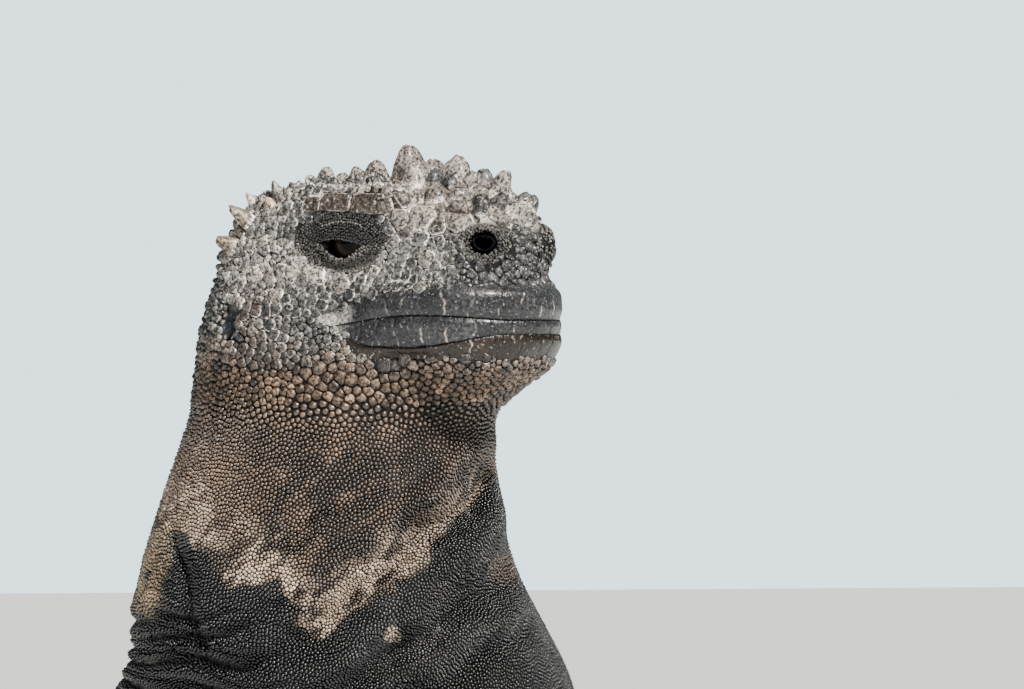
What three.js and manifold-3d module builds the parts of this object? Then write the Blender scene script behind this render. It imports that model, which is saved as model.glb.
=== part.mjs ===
// Marine iguana, a still model at life size
// Millimetres, +Z up, +X the way the trunk points, +Y the animal's left
// Belly, tail and feet rest on the floor, the forequarters are raised, the neck stands upright
// and the head looks to the animal's left

import * as THREE from 'three';
import { mergeVertices } from 'three/addons/utils/BufferGeometryUtils.js';
import Module from 'manifold-3d';

const wasm = await Module();
wasm.setup();

// Clearance between neighbouring pieces, the floor, and the size of the blocks that part the body
const GAP = 0.3;
const HALF_GAP = GAP / 2;
const FLOOR = 0;
const FAR = 1600;

// Spine stations from tail tip to skull:
// [x, y, z, half width, height over the line, depth under it, heading in degrees]
// A tail station takes its heading from the line itself
const SPINE = [
  [-735, -8, 4, 1.5, 3, 4],
  [-690, 0, 8, 3.2, 6, 8],
  [-620, 26, 11.5, 5, 10, 12],
  [-540, 44, 15, 7.5, 14, 15.5],
  [-460, 42, 18, 10, 17, 18.5],
  [-380, 24, 20.5, 13.5, 19, 21],
  [-300, 6, 24, 19, 22, 24.5],
  [-228, 0, 29, 27, 26, 29.6],
  [-200, 0, 36, 37, 31, 37.8, 0],
  [-160, 0, 43, 48, 34, 44.8, 0],
  [-115, 0, 53, 55, 36, 49, 0],
  [-72, 4.5, 68, 54, 38, 47, 0],
  [-38, 8.6, 88, 51, 38, 44, 0],
  [-16, 9.2, 110, 48, 34.5, 41.5, 3],
  [-8, 4.4, 126, 44, 32.6, 38.6, 9],
  [-3.3, 1, 140, 38.2, 31.8, 36, 16],
  [0.6, 1.6, 164, 29.8, 32, 32.6, 27],
  [-2.5, -0.4, 186, 24, 25.5, 26, 34],
  [-4.5, -1.6, 199, 13, 13, 13, 34],
];
const TAIL_ROOT_STATION = 7;
const CHEST_STATION = 11;
const NECK_BASE_STATION = 13;
const SKULL_STATION = 17;
const HEADING_COLUMN = 6;
const TAIL_LENGTHS = 4;
const TAIL_COLUMNS = 12;
const TAIL_RINGS = 36;
const TRUNK_COLUMNS = 22;
const TRUNK_RINGS = 38;
const NECK_CROWDING = 1.35;
const BLEND_START_HEIGHT = 151;
const NECK_FIELD_FROM = 11;
const NECK_SAMPLES = 90;

// Small shares and lengths for slopes and for keeping divisions sound
const SLOPE_SHARE = 0.001;
const SLOPE_REACH = 0.3;
const TINY = 1e-6;

// The head has its own frame: forward, out to the side, up, from the neck axis at the mouth line
const HEAD_HEADING = THREE.MathUtils.degToRad(34);
const HEAD_ORIGIN = [-5.4, -2.2, 186.2];
const NECK_BLEND = 7;

// Forms of one half of the head, in the order in which they are blended or sunk in
const HEAD_FORMS = [
  { name: 'cranium', centre: [11, 0, 11.5], radii: [26.5, 22, 16.2], power: 2.3, blend: 0 },
  { name: 'jaw muscle', centre: [2, 12.5, -1], radii: [15, 13, 15], power: 2, blend: 6 },
  { name: 'snout', centre: [34, 0, 9.5], radii: [20.8, 17, 17.5], power: 2.5, blend: 8 },
  { name: 'lower jaw', centre: [31, 0, -5.5], radii: [26, 18.3, 9.5], power: 2.6, blend: 3 },
  { name: 'upper lip', lip: true, forward: 35.5, radii: [23.5, 20.3], up: 3.2, half: 3.4, blend: 2.2 },
  { name: 'lower lip', lip: true, forward: 35, radii: [23.6, 20.3], up: -3.6, half: 3.5, blend: 1.2 },
  { name: 'throat', centre: [25, 0, -12], radii: [23, 17, 11], power: 2, blend: 6 },
  { name: 'orbit', sunk: true, centre: [22.5, 23.8, 13.8], radii: [10.5, 6, 7.6], power: 2, blend: 4 },
  { name: 'brow', ridge: true, from: [11, 15, 22.6], to: [32, 13, 23.2], radii: [3.8, 3.4], blend: 4 },
  { name: 'nostril mound', centre: [51, 9, 14.6], radii: [4.8, 4.2, 4.2], power: 2, blend: 3 },
];
const LIP_ROUNDING = 3;

// Grid over the head: rays leave an upright axis, level across the lips and fanned above and below
const HEAD_AXIS = 22;
const LIP_BELT = 8.5;
const HEAD_COLUMNS = 48;
const CROWN_ROWS = 9;
const BELT_ROWS = 14;
const CHIN_ROWS = 5;
const FRONT_CROWDING = 0.45;
const RAY_START = 1.5;
const RAY_STEP = 0.8;
const RAY_LIMIT = 46;
const RAY_HALVINGS = 16;

// Cuts between head, jaw and neck
const NECK_CUT_DROP = 10.6;
const NECK_CUT_SLOPE = 0.3;
const MOUTH_CORNER = 22;
const MOUTH_FRONT = 70;
const MOUTH_LEVEL = -0.5;
const MOUTH_BOW = 1.1;
const SNOUT_TIP = 59;
const JAW_HINGE_BACK = 18;
const JAW_HINGE_DROP = 13.5;
const MOUTH_STEPS = 8;
const CUT_HALF_WIDTH = 60;

// Eyes, lids, nostrils and ears
const EYE_CENTRE = [22.6, 12.3, 14.3];
const EYE_RADIUS = 6.1;
const EYE_GRID = [16, 10];
const SOCKET_RADIUS = EYE_RADIUS + GAP + HALF_GAP;
const SOCKET_GRID = [16, 8];
const LID_CENTRE = [22.6, 12.4, 14.1];
const LID_RADII = [10.2, 7.5, 7.2];
const LID_GRID = [16, 10];
const LID_SLIT = {
  back: [17.9, 15], front: [27.3, 13.6], over: 2, under: 5.2, depth: 12, inside: 13, steps: 6,
};
const NOSTRIL = {
  centre: [51.8, 10.1, 14.8], aim: [0.55, 0.8, 0.12], wide: 2.3, tall: 0.75, deep: 5, sides: 10,
};
const NOSTRIL_RIM_RADII = [4.6, 4, 4];
const NOSTRIL_RIM_BACK = 1.4;
const EAR = { centre: [-1, 25.2, 0], radii: [3, 2.6, 4.2] };
const SMALL_GRID = [12, 8];

// Raised scutes of the crown and snout: rows over the head with their spacing, spread and size
const SCUTE_ROWS = { sides: 6, axisUp: 8, backHold: -2, frontHold: 42, fan: 20, leastReach: 16, sunk: 1.6 };
const SCUTE_ZONES = [
  { name: 'snout', from: 18, to: 53, rows: 5, spacing: 8.2, spread: 50, half: 4.9, tall: 3.7, blunt: true },
  { name: 'crown', from: -14.5, to: 9.5, rows: 5, spacing: 6.2, spread: 70, half: 2.9, tall: 2.6 },
];
const TALLEST_SCUTE_AT = 29;
const TALLEST_SCUTE_EXTRA = 2.3;
const TALLEST_SCUTE_REACH = 12;
const SCUTE_LIFT = 0.25;
const SCUTE_LEAN = 0.12;
const SCUTE_SIDE_FADE = 0.45;
const BLUNT_PROFILE = [[0, 1], [0.45, 0.76], [1, 0], [0, 0]];
const POINTED_PROFILE = [[0, 1], [1, 0], [0, 0]];

// Crest of spines from the nape to the tail
const CREST = { spacing: 7.6, half: 3.4, thick: 1.3, sunk: 1.8, lean: 0.45, sides: 4 };
const CREST_TALL_TAIL = 3.6;
const CREST_TALL_TRUNK = 3.1;
const CREST_TAIL_CLEAR = 18;
const NAPE_SPINES = 4;
const NAPE_FROM = 150;
const NAPE_STEP = 17;
const VARIATION_SEED = 27;
const VARIATION = 0.16;

// Limbs: one or two lengths of stations [x, y, z, half width, half height], from inside the trunk
// down to the wrist or ankle; thigh and shin meet at the knee
const LIMBS = [
  {
    name: 'front_left',
    lengths: [{
      rings: 13,
      stations: [[-20, 28, 92, 16, 18], [-26, 47, 80, 14, 16.5], [-36, 64, 62, 11, 13],
        [-42, 75, 49, 9.8, 10.8], [-30, 74, 33, 9.8, 10], [-15, 71.5, 18, 7.5, 6.6],
        [-8, 70.5, 7, 5.6, 3.6]],
    }],
  },
  {
    name: 'front_right',
    lengths: [{
      rings: 13,
      stations: [[-22, -14, 92, 16, 18], [-29, -34, 80, 14, 16.5], [-40, -53, 62, 11, 13],
        [-47, -64, 49, 9.8, 10.8], [-37, -65, 33, 9.8, 10], [-24, -64, 18, 7.5, 6.6],
        [-17, -63.5, 7, 5.6, 3.6]],
    }],
  },
  {
    name: 'hind_left',
    lengths: [{
      rings: 6,
      stations: [[-205, 16, 36, 19, 18], [-193, 38, 39, 18, 17], [-175, 60, 40, 14.5, 14],
        [-162, 71, 38.5, 11, 11.2], [-156, 76, 37.5, 6, 6]],
    }, {
      rings: 7,
      stations: [[-157, 71, 43, 5.5, 5.5], [-160, 73.5, 37, 9.8, 10], [-173, 80, 27, 10.2, 10],
        [-189, 88, 15.5, 7.6, 7.2], [-198, 92, 7.4, 5.6, 4]],
    }],
  },
  {
    name: 'hind_right',
    lengths: [{
      rings: 6,
      stations: [[-205, -16, 36, 19, 18], [-196, -38, 38, 18, 17], [-181, -61, 37.5, 14.5, 14],
        [-170, -74, 36, 11, 11.2], [-165, -79.5, 35, 6, 6]],
    }, {
      rings: 7,
      stations: [[-166, -75, 40.5, 5.5, 5.5], [-170, -77, 34.5, 9.8, 10], [-184, -82, 25, 10.2, 10],
        [-202, -86, 15, 7.6, 7.2], [-212, -88, 7.4, 5.6, 4]],
    }],
  },
];
const LIMB_COLUMNS = 12;

// Feet: the sole from heel to knuckles, and each toe's length and turn from the foot's heading
const FEET = {
  front_left: { heel: [-9, 70.5], heading: 12, side: 1, kind: 'front' },
  front_right: { heel: [-18, -63.5], heading: -16, side: -1, kind: 'front' },
  hind_left: { heel: [-200, 92.5], heading: 16, side: 1, kind: 'hind' },
  hind_right: { heel: [-214, -88.5], heading: -18, side: -1, kind: 'hind' },
};
const FOOT_KINDS = {
  front: {
    sole: 17, halfWidth: 8.6, halfHeight: 5.2, toeHalf: 3.1, tipHalf: 2.3,
    toes: [[12, -42], [18, -20], [22, -2], [22, 17], [15, 40]],
  },
  hind: {
    sole: 27, halfWidth: 8.2, halfHeight: 5.4, toeHalf: 3.3, tipHalf: 2.4,
    toes: [[16, -34], [24, -17], [34, -3], [44, 11], [22, 33]],
  },
};
// Sole stations from the heel on: share of the sole's length, more millimetres ahead, then its
// height, width and depth as shares of the foot's
const SOLE_SHAPE = [
  [0, -6, 0.9, 0.36, 0.4],
  [0, -3, 1, 0.72, 0.86],
  [0, 1, 1, 0.82, 1],
  [0.55, 0, 1, 0.9, 1],
  [1, 0, 0.8, 1, 0.8],
  [1, 3.5, 0.66, 0.8, 0.66],
];
const SOLE_GRID = [10, 7];
const TOE = {
  rootSunk: 7, rootSize: 0.9, rootArch: 1.04, arch: 2.6, archAt: 0.42, archSize: 0.95, levelAt: 0.8,
  grid: [6, 5],
};
const PRESS = 0.25;
const KNUCKLE_SPREAD = 0.8;
const CLAW = {
  long: 7.5, half: 1.7, narrow: 0.72, bendAt: 3, bendWidth: 0.75, bendDepth: 0.8,
  tipHalf: 0.35, tipHeight: 0.6, grid: [6, 3],
};

// Colours and finish of each kind of surface
const HIDE_DARK = { color: 0x2b2c30, roughness: 0.62 };
const HIDE_TAN = { color: 0x6d5f52, roughness: 0.66 };
const SCUTE_GREY = { color: 0x77767a, roughness: 0.7 };
const LIP_SLATE = { color: 0x3f444d, roughness: 0.5 };
const EYE_BROWN = { color: 0x1c1512, roughness: 0.08 };
const CLAW_HORN = { color: 0x1d1b1a, roughness: 0.42 };

const toRadians = THREE.MathUtils.degToRad;
const lerp = THREE.MathUtils.lerp;
const UP = new THREE.Vector3(0, 0, 1);

THREE.MathUtils.seededRandom(VARIATION_SEED);

function varied(size) {
  return size * (1 + VARIATION * (2 * THREE.MathUtils.seededRandom() - 1));
}

// Stations with the distance of each from the first, along straight chords
function measured(stations) {
  const distances = [0];
  for (let index = 1; index < stations.length; index += 1) {
    const here = new THREE.Vector3(...stations[index]);
    const before = new THREE.Vector3(...stations[index - 1]);
    distances.push(distances[index - 1] + here.distanceTo(before));
  }
  return { stations, distances, length: distances[distances.length - 1] };
}

// All values of a line of stations at a distance along it, on a smooth cubic through them
function valuesAt(line, distance) {
  const { stations, distances } = line;
  const last = stations.length - 1;
  let index = 0;
  while (index < last - 1 && distance > distances[index + 1]) {
    index += 1;
  }
  const slopeAt = (place, column) => {
    const before = Math.max(place - 1, 0);
    const after = Math.min(place + 1, last);
    return (stations[after][column] - stations[before][column]) / (distances[after] - distances[before]);
  };
  const span = distances[index + 1] - distances[index];
  const t = (distance - distances[index]) / span;
  const squared = t * t;
  const cubed = squared * t;
  return stations[index].map((start, column) => {
    const end = stations[index + 1][column];
    const lead = (cubed - 2 * squared + t) * span * slopeAt(index, column);
    const trail = (cubed - squared) * span * slopeAt(index + 1, column);
    return start + (3 * squared - 2 * cubed) * (end - start) + lead + trail;
  });
}

// Centre, forward, left and upward directions and sizes of a line at a distance along it
function frameAt(line, distance, squareOff) {
  const nudge = line.length * SLOPE_SHARE;
  const values = valuesAt(line, distance);
  const ahead = new THREE.Vector3(...valuesAt(line, Math.min(distance + nudge, line.length)));
  const behind = new THREE.Vector3(...valuesAt(line, Math.max(distance - nudge, 0)));
  const { forward, left } = squareOff(ahead.sub(behind).normalize(), values);
  const over = new THREE.Vector3().crossVectors(forward, left);
  return { centre: new THREE.Vector3(...values), forward, left, over, sizes: values.slice(3) };
}

// Left stays level at the station's own heading, and forward gives way
function byHeading(direction, values) {
  const heading = toRadians(values[HEADING_COLUMN]);
  const left = new THREE.Vector3(-Math.sin(heading), Math.cos(heading), 0);
  const forward = direction.clone().addScaledVector(left, -direction.dot(left)).normalize();
  return { forward, left };
}

// Left is kept as near as can be to a direction, and the line's own way stays forward
function nearTo(reference) {
  return (direction) => {
    const left = reference.clone().addScaledVector(direction, -reference.dot(direction)).normalize();
    return { forward: direction, left };
  };
}

function levelSides(direction) {
  return nearTo(new THREE.Vector3().crossVectors(UP, direction))(direction);
}

// The spine, with the tail's headings filled in from its own line
const SPINE_LINE = measured(SPINE.map((station, index) => {
  if (station.length > HEADING_COLUMN) {
    return station;
  }
  const before = SPINE[Math.max(index - 1, 0)];
  const after = SPINE[index + 1];
  const heading = Math.atan2(after[1] - before[1], after[0] - before[0]);
  return [...station, THREE.MathUtils.radToDeg(heading)];
}));
const TAIL_ROOT = SPINE_LINE.distances[TAIL_ROOT_STATION];
const CHEST_BASE = SPINE_LINE.distances[CHEST_STATION];
const NECK_BASE = SPINE_LINE.distances[NECK_BASE_STATION];
const SKULL_BASE = SPINE_LINE.distances[SKULL_STATION];

function spineFrame(distance) {
  return frameAt(SPINE_LINE, distance, byHeading);
}

// Smooth joining and sinking of two distances
function joined(a, b, blend) {
  const near = Math.max(blend - Math.abs(a - b), 0) / Math.max(blend, TINY);
  return Math.min(a, b) - (near * near * blend) / 4;
}

function sunk(a, b, blend) {
  return -joined(-a, b, blend);
}

function ellipseDistance(q, radii) {
  let whole = 0;
  let steep = 0;
  q.forEach((value, axis) => {
    whole += (value / radii[axis]) ** 2;
    steep += (value / radii[axis] ** 2) ** 2;
  });
  const level = Math.sqrt(whole);
  return (level * (level - 1)) / Math.max(Math.sqrt(steep), TINY);
}

// Distance to an ellipsoid whose power above 2 squares it off
function ellipsoidDistance(h, form) {
  const q = h.map((value, axis) => value - form.centre[axis]);
  if (form.power === 2) {
    return ellipseDistance(q, form.radii);
  }
  const parts = q.map((value, axis) => Math.abs(value) / form.radii[axis]);
  const level = parts.reduce((sum, part) => sum + part ** form.power, 0) ** (1 / form.power);
  const slopes = parts.map((part, axis) => (part / (level + TINY)) ** (form.power - 1) / form.radii[axis]);
  return (level - 1) / Math.max(Math.hypot(...slopes), TINY);
}

// Distance to a lip: a rounded elliptic slab that follows the jaw in plan
function lipDistance(h, form) {
  const radii = form.radii.map((radius) => radius - LIP_ROUNDING);
  const inPlan = ellipseDistance([h[0] - form.forward, h[1]], radii);
  const inHeight = Math.abs(h[2] - form.up) - (form.half - LIP_ROUNDING);
  const outside = Math.hypot(Math.max(inPlan, 0), Math.max(inHeight, 0));
  return outside + Math.min(Math.max(inPlan, inHeight), 0) - LIP_ROUNDING;
}

function ridgeDistance(h, form) {
  const from = new THREE.Vector3(...form.from);
  const line = new THREE.Vector3(...form.to).sub(from);
  const out = new THREE.Vector3(...h).sub(from);
  const share = THREE.MathUtils.clamp(out.dot(line) / line.lengthSq(), 0, 1);
  return out.addScaledVector(line, -share).length() - lerp(form.radii[0], form.radii[1], share);
}

function headDistance(h) {
  let distance = Infinity;
  for (const form of HEAD_FORMS) {
    let own = 0;
    if (form.lip) {
      own = lipDistance(h, form);
    } else if (form.ridge) {
      own = ridgeDistance(h, form);
    } else {
      own = ellipsoidDistance(h, form);
    }
    if (distance === Infinity) {
      distance = own;
    } else {
      distance = form.sunk ? sunk(distance, own, form.blend) : joined(distance, own, form.blend);
    }
  }
  return distance;
}

const NECK_FRAMES = [];
for (let index = 0; index < NECK_SAMPLES; index += 1) {
  const from = SPINE_LINE.distances[NECK_FIELD_FROM];
  NECK_FRAMES.push(spineFrame(lerp(from, SPINE_LINE.length, index / (NECK_SAMPLES - 1))));
}

// Distance to the neck: its oval section at the nearest place along the line
function neckDistance(point) {
  let nearest = 0;
  let least = Infinity;
  NECK_FRAMES.forEach((frame, index) => {
    const apart = frame.centre.distanceToSquared(point);
    if (apart < least) {
      least = apart;
      nearest = index;
    }
  });
  const along = (index) => point.clone().sub(NECK_FRAMES[index].centre).dot(NECK_FRAMES[index].forward);
  const start = THREE.MathUtils.clamp(along(nearest) >= 0 ? nearest : nearest - 1, 0, NECK_SAMPLES - 2);
  const before = along(start);
  const after = along(start + 1);
  const share = THREE.MathUtils.clamp(before / Math.max(before - after, TINY), 0, 1);
  const low = NECK_FRAMES[start];
  const high = NECK_FRAMES[start + 1];
  const out = point.clone().sub(low.centre.clone().lerp(high.centre, share));
  const sideways = out.dot(low.left.clone().lerp(high.left, share));
  const upward = out.dot(low.over.clone().lerp(high.over, share));
  const [width, over, under] = low.sizes.map((size, index) => lerp(size, high.sizes[index], share));
  const wall = ellipseDistance([sideways, upward], [width, upward > 0 ? over : under]);
  if (start === NECK_SAMPLES - 2 && share === 1) {
    return Math.hypot(Math.max(wall, 0), after) + Math.min(wall, 0);
  }
  return wall;
}

// Between the head's own frame and the body's
const HEAD_TO_BODY = new THREE.Matrix4().makeRotationZ(HEAD_HEADING).setPosition(...HEAD_ORIGIN);
const BODY_TO_HEAD = HEAD_TO_BODY.clone().invert();

function skinDistance(point) {
  const h = point.clone().applyMatrix4(BODY_TO_HEAD);
  return joined(headDistance([h.x, Math.abs(h.y), h.z]), neckDistance(point), NECK_BLEND);
}

// First point outward along a ray where the skin is met
function skinPoint(origin, direction, limit = RAY_LIMIT) {
  const at = (distance) => origin.clone().addScaledVector(direction, distance);
  let inside = 0;
  let outside = RAY_START;
  while (outside < limit && skinDistance(at(outside)) < 0) {
    inside = outside;
    outside += RAY_STEP;
  }
  if (outside >= limit) {
    return at(limit);
  }
  for (let round = 0; round < RAY_HALVINGS; round += 1) {
    const middle = (inside + outside) / 2;
    if (skinDistance(at(middle)) < 0) {
      inside = middle;
    } else {
      outside = middle;
    }
  }
  return at(inside);
}

// Outward direction of the skin at a point
function skinNormal(point) {
  const slope = ['x', 'y', 'z'].map((axis) => {
    const ahead = point.clone();
    const behind = point.clone();
    ahead[axis] += SLOPE_REACH;
    behind[axis] -= SLOPE_REACH;
    return skinDistance(ahead) - skinDistance(behind);
  });
  return new THREE.Vector3(...slope).normalize();
}

// A closed skin of columns by rows, its corners moved to place(turn, row)
function wrapped(columns, rows, place) {
  const geometry = new THREE.SphereGeometry(1, columns, rows);
  const position = geometry.attributes.position;
  for (let row = 0; row <= rows; row += 1) {
    for (let column = 0; column <= columns; column += 1) {
      const point = place((column % columns) / columns, row);
      position.setXYZ(row * (columns + 1) + column, point.x, point.y, point.z);
    }
  }
  return geometry;
}

// A closed tube of rings, with a flat end at each side
function tube(columns, rings, ringCentre, ringPoint) {
  return wrapped(columns, rings + 1, (turn, row) => {
    if (row === 0) {
      return ringCentre(0);
    }
    if (row === rings + 1) {
      return ringCentre(rings - 1);
    }
    return ringPoint(row - 1, turn * 2 * Math.PI);
  });
}

// A solid from a closed geometry, turned right side out where needed
function solidOf(geometry) {
  const bare = geometry.clone();
  bare.deleteAttribute('normal');
  bare.deleteAttribute('uv');
  const merged = mergeVertices(bare);
  const vertProperties = new Float32Array(merged.attributes.position.array);
  const triVerts = new Uint32Array(merged.index.array);
  const corner = (index) => new THREE.Vector3().fromArray(vertProperties, 3 * triVerts[index]);
  let volume = 0;
  for (let index = 0; index < triVerts.length; index += 3) {
    volume += corner(index).dot(corner(index + 1).cross(corner(index + 2)));
  }
  if (volume < 0) {
    for (let index = 0; index < triVerts.length; index += 3) {
      [triVerts[index], triVerts[index + 1]] = [triVerts[index + 1], triVerts[index]];
    }
  }
  return new wasm.Manifold(new wasm.Mesh({ numProp: 3, vertProperties, triVerts }));
}

function joinedSolid(solids) {
  return solids.reduce((whole, solid) => whole.add(solid));
}

// The largest closed piece of a solid
function largestPiece(solid) {
  const pieces = solid.decompose();
  return pieces.reduce((largest, piece) => (piece.volume() > largest.volume() ? piece : largest));
}

// Everything on the side of a plane that its normal points to
function sideOf(point, normal) {
  const block = new THREE.BoxGeometry(FAR, FAR, FAR);
  block.translate(0, 0, FAR / 2);
  block.applyQuaternion(new THREE.Quaternion().setFromUnitVectors(UP, normal.clone().normalize()));
  block.translate(point.x, point.y, point.z);
  return solidOf(block);
}

const ABOVE_FLOOR = sideOf(new THREE.Vector3(0, 0, FLOOR), UP);

function inHeadFrame(geometry) {
  return solidOf(geometry.applyMatrix4(HEAD_TO_BODY));
}

function headPoint(forward, side, up) {
  return new THREE.Vector3(forward, side, up).applyMatrix4(HEAD_TO_BODY);
}

function headDirection(forward, side, up) {
  return new THREE.Vector3(forward, side, up).normalize().transformDirection(HEAD_TO_BODY);
}

// Trunk and tail

// A length of the spine's tube, its rings closer towards the head, grown outward all round by extra
function spineTube(from, to, columns, rings, extra = 0) {
  const frames = [];
  for (let ring = 0; ring < rings; ring += 1) {
    const share = 1 - (1 - ring / (rings - 1)) ** NECK_CROWDING;
    frames.push(spineFrame(lerp(from, to, share)));
  }
  return tube(columns, rings, (ring) => frames[ring].centre.clone(), (ring, angle) => {
    const { centre, left, over, sizes } = frames[ring];
    const [width, high, deep] = sizes;
    const out = left.clone().multiplyScalar(Math.cos(angle) * (width + extra));
    out.addScaledVector(over, Math.sin(angle) * ((Math.sin(angle) > 0 ? high : deep) + extra));
    if (centre.z > BLEND_START_HEIGHT && extra === 0) {
      return skinPoint(centre, out.normalize());
    }
    return out.add(centre);
  });
}

// A pointed spine or scute: base on the skin, root sunk, tip leaning back along the body
function spike(base, out, along, size) {
  const { sides, half, thick, tall, lean, root, blunt } = size;
  const profile = blunt ? BLUNT_PROFILE : POINTED_PROFILE;
  const cone = wrapped(sides, profile.length - 1, (turn, row) => {
    const [out, up] = profile[row];
    return new THREE.Vector3(out * Math.cos(2 * Math.PI * turn), up, out * Math.sin(2 * Math.PI * turn));
  });
  const upward = out.clone().multiplyScalar(tall + root).addScaledVector(along, -lean * tall);
  const across = new THREE.Vector3().crossVectors(along, out).normalize();
  const frame = new THREE.Matrix4().makeBasis(
    along.clone().multiplyScalar(half),
    upward,
    across.multiplyScalar(thick),
  );
  frame.setPosition(base.clone().addScaledVector(out, -root));
  return solidOf(cone.applyMatrix4(frame));
}

// Crest spines at even steps along the midline of a length of the spine
function crestSpines(from, to) {
  const spines = [];
  const first = Math.ceil(from / CREST.spacing);
  const last = Math.floor(to / CREST.spacing);
  for (let step = first; step <= last; step += 1) {
    const distance = step * CREST.spacing;
    const { centre, forward, over, sizes } = spineFrame(distance);
    const high = sizes[1];
    const plain = centre.clone().addScaledVector(over, high);
    const base = centre.z > BLEND_START_HEIGHT ? skinPoint(centre, over) : plain;
    const share = THREE.MathUtils.smoothstep(distance, CREST_TAIL_CLEAR, TAIL_ROOT);
    const tall = varied(lerp(CREST_TALL_TAIL, CREST_TALL_TRUNK, share));
    const root = Math.min(CREST.sunk, high / 2);
    const thick = Math.min(CREST.thick, sizes[0] / 2);
    spines.push(spike(base, over, forward, { ...CREST, half: varied(CREST.half), thick, tall, root }));
  }
  return spines;
}

// One length of the body between two distances along the spine, its crest on it
function spineLength(tubeSolid, from, to) {
  const spines = crestSpines(Math.max(from, CREST_TAIL_CLEAR), Math.min(to, SKULL_BASE));
  let body = joinedSolid([tubeSolid, ...spines]);
  if (from > 0) {
    const { centre, forward } = spineFrame(from);
    body = body.intersect(sideOf(centre.clone().addScaledVector(forward, HALF_GAP), forward));
  }
  if (to < SKULL_BASE) {
    const { centre, forward } = spineFrame(to);
    body = body.intersect(sideOf(centre.clone().addScaledVector(forward, -HALF_GAP), forward.negate()));
  }
  return body.intersect(ABOVE_FLOOR);
}

// Head

// The slanting plane between head and neck, moved along its normal by shift
function neckPlane(shift) {
  const normal = headDirection(NECK_CUT_SLOPE, 0, 1);
  const point = headPoint(0, 0, -NECK_CUT_DROP).addScaledVector(normal, shift);
  return { point, normal };
}

function headSkin() {
  const rows = CROWN_ROWS + BELT_ROWS + CHIN_ROWS;
  return solidOf(wrapped(HEAD_COLUMNS, rows, (turn, row) => {
    const round = 2 * Math.PI * turn;
    const azimuth = round - FRONT_CROWDING * Math.sin(round);
    let height = LIP_BELT;
    let climb = 0;
    if (row <= CROWN_ROWS) {
      climb = (Math.PI / 2) * (1 - row / CROWN_ROWS);
    } else if (row <= CROWN_ROWS + BELT_ROWS) {
      height = LIP_BELT * (1 - (2 * (row - CROWN_ROWS)) / BELT_ROWS);
    } else {
      height = -LIP_BELT;
      climb = (-Math.PI / 2) * ((row - CROWN_ROWS - BELT_ROWS) / CHIN_ROWS);
    }
    const level = Math.cos(climb);
    const direction = headDirection(level * Math.cos(azimuth), level * Math.sin(azimuth), Math.sin(climb));
    return skinPoint(headPoint(HEAD_AXIS, 0, height), direction);
  }));
}

function ellipsoid(centre, radii, side, grid) {
  const ball = new THREE.SphereGeometry(1, ...grid);
  ball.scale(...radii);
  ball.translate(centre[0], side * centre[1], centre[2]);
  return inHeadFrame(ball);
}

// The opening between the lids, an almond with a straighter upper edge
function lidSlit(side) {
  const { back, front, over, under, depth, inside, steps } = LID_SLIT;
  const middle = [(back[0] + front[0]) / 2, (back[1] + front[1]) / 2];
  const almond = new THREE.Shape();
  almond.moveTo(...back);
  almond.quadraticCurveTo(middle[0], middle[1] + over, ...front);
  almond.quadraticCurveTo(middle[0], middle[1] - under, ...back);
  const prism = new THREE.ExtrudeGeometry(almond, { depth, bevelEnabled: false, curveSegments: steps });
  prism.rotateX(Math.PI / 2);
  prism.translate(0, side > 0 ? inside + depth : -inside, 0);
  return inHeadFrame(prism);
}

// A tapering oval hole into the snout
function nostrilHole(side) {
  const { centre, aim, wide, tall, deep, sides } = NOSTRIL;
  const hole = new THREE.CylinderGeometry(wide, wide * tall, 2 * deep, sides);
  hole.scale(tall, 1, 1);
  const direction = new THREE.Vector3(aim[0], side * aim[1], aim[2]).normalize();
  hole.applyQuaternion(new THREE.Quaternion().setFromUnitVectors(new THREE.Vector3(0, 1, 0), direction));
  hole.translate(centre[0], side * centre[1], centre[2]);
  hole.translate(direction.x * deep / 2, direction.y * deep / 2, direction.z * deep / 2);
  return inHeadFrame(hole);
}

// Skin point over the crown at a place along the head and an angle out from the midline
function crownPoint(forward, angle) {
  const { axisUp, backHold, frontHold, fan } = SCUTE_ROWS;
  const hold = THREE.MathUtils.clamp(forward, backHold, frontHold);
  const direction = headDirection((forward - hold) / fan, Math.sin(angle), Math.cos(angle));
  return skinPoint(headPoint(hold, 0, axisUp), direction);
}

// Rows of pointed scutes over the crown and snout, staggered from row to row
function crownScutes() {
  const scutes = [];
  const along = headDirection(1, 0, 0);
  for (const zone of SCUTE_ZONES) {
    for (let row = 0; row < zone.rows; row += 1) {
      const forward = lerp(zone.from, zone.to, row / (zone.rows - 1));
      const reach = crownPoint(forward, 0).distanceTo(headPoint(forward, 0, SCUTE_ROWS.axisUp));
      const turn = zone.spacing / Math.max(reach, SCUTE_ROWS.leastReach);
      const most = Math.floor(toRadians(zone.spread) / turn);
      const offset = row % 2 === 0 ? 0 : 0.5;
      for (let place = -most; place + offset <= most; place += 1) {
        const angle = (place + offset) * turn;
        const base = crownPoint(forward, angle);
        const fade = 1 - SCUTE_SIDE_FADE * (angle / toRadians(zone.spread)) ** 2;
        const out = skinNormal(base).addScaledVector(UP, SCUTE_LIFT).normalize();
        const away = (forward - TALLEST_SCUTE_AT) / TALLEST_SCUTE_REACH;
        const extra = TALLEST_SCUTE_EXTRA * Math.exp(-away * away);
        const half = varied(zone.half);
        scutes.push(spike(base, out, along, {
          sides: SCUTE_ROWS.sides, half, thick: half, tall: fade * varied(zone.tall + extra),
          lean: SCUTE_LEAN, root: SCUTE_ROWS.sunk, blunt: zone.blunt,
        }));
      }
    }
  }
  return scutes;
}

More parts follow.
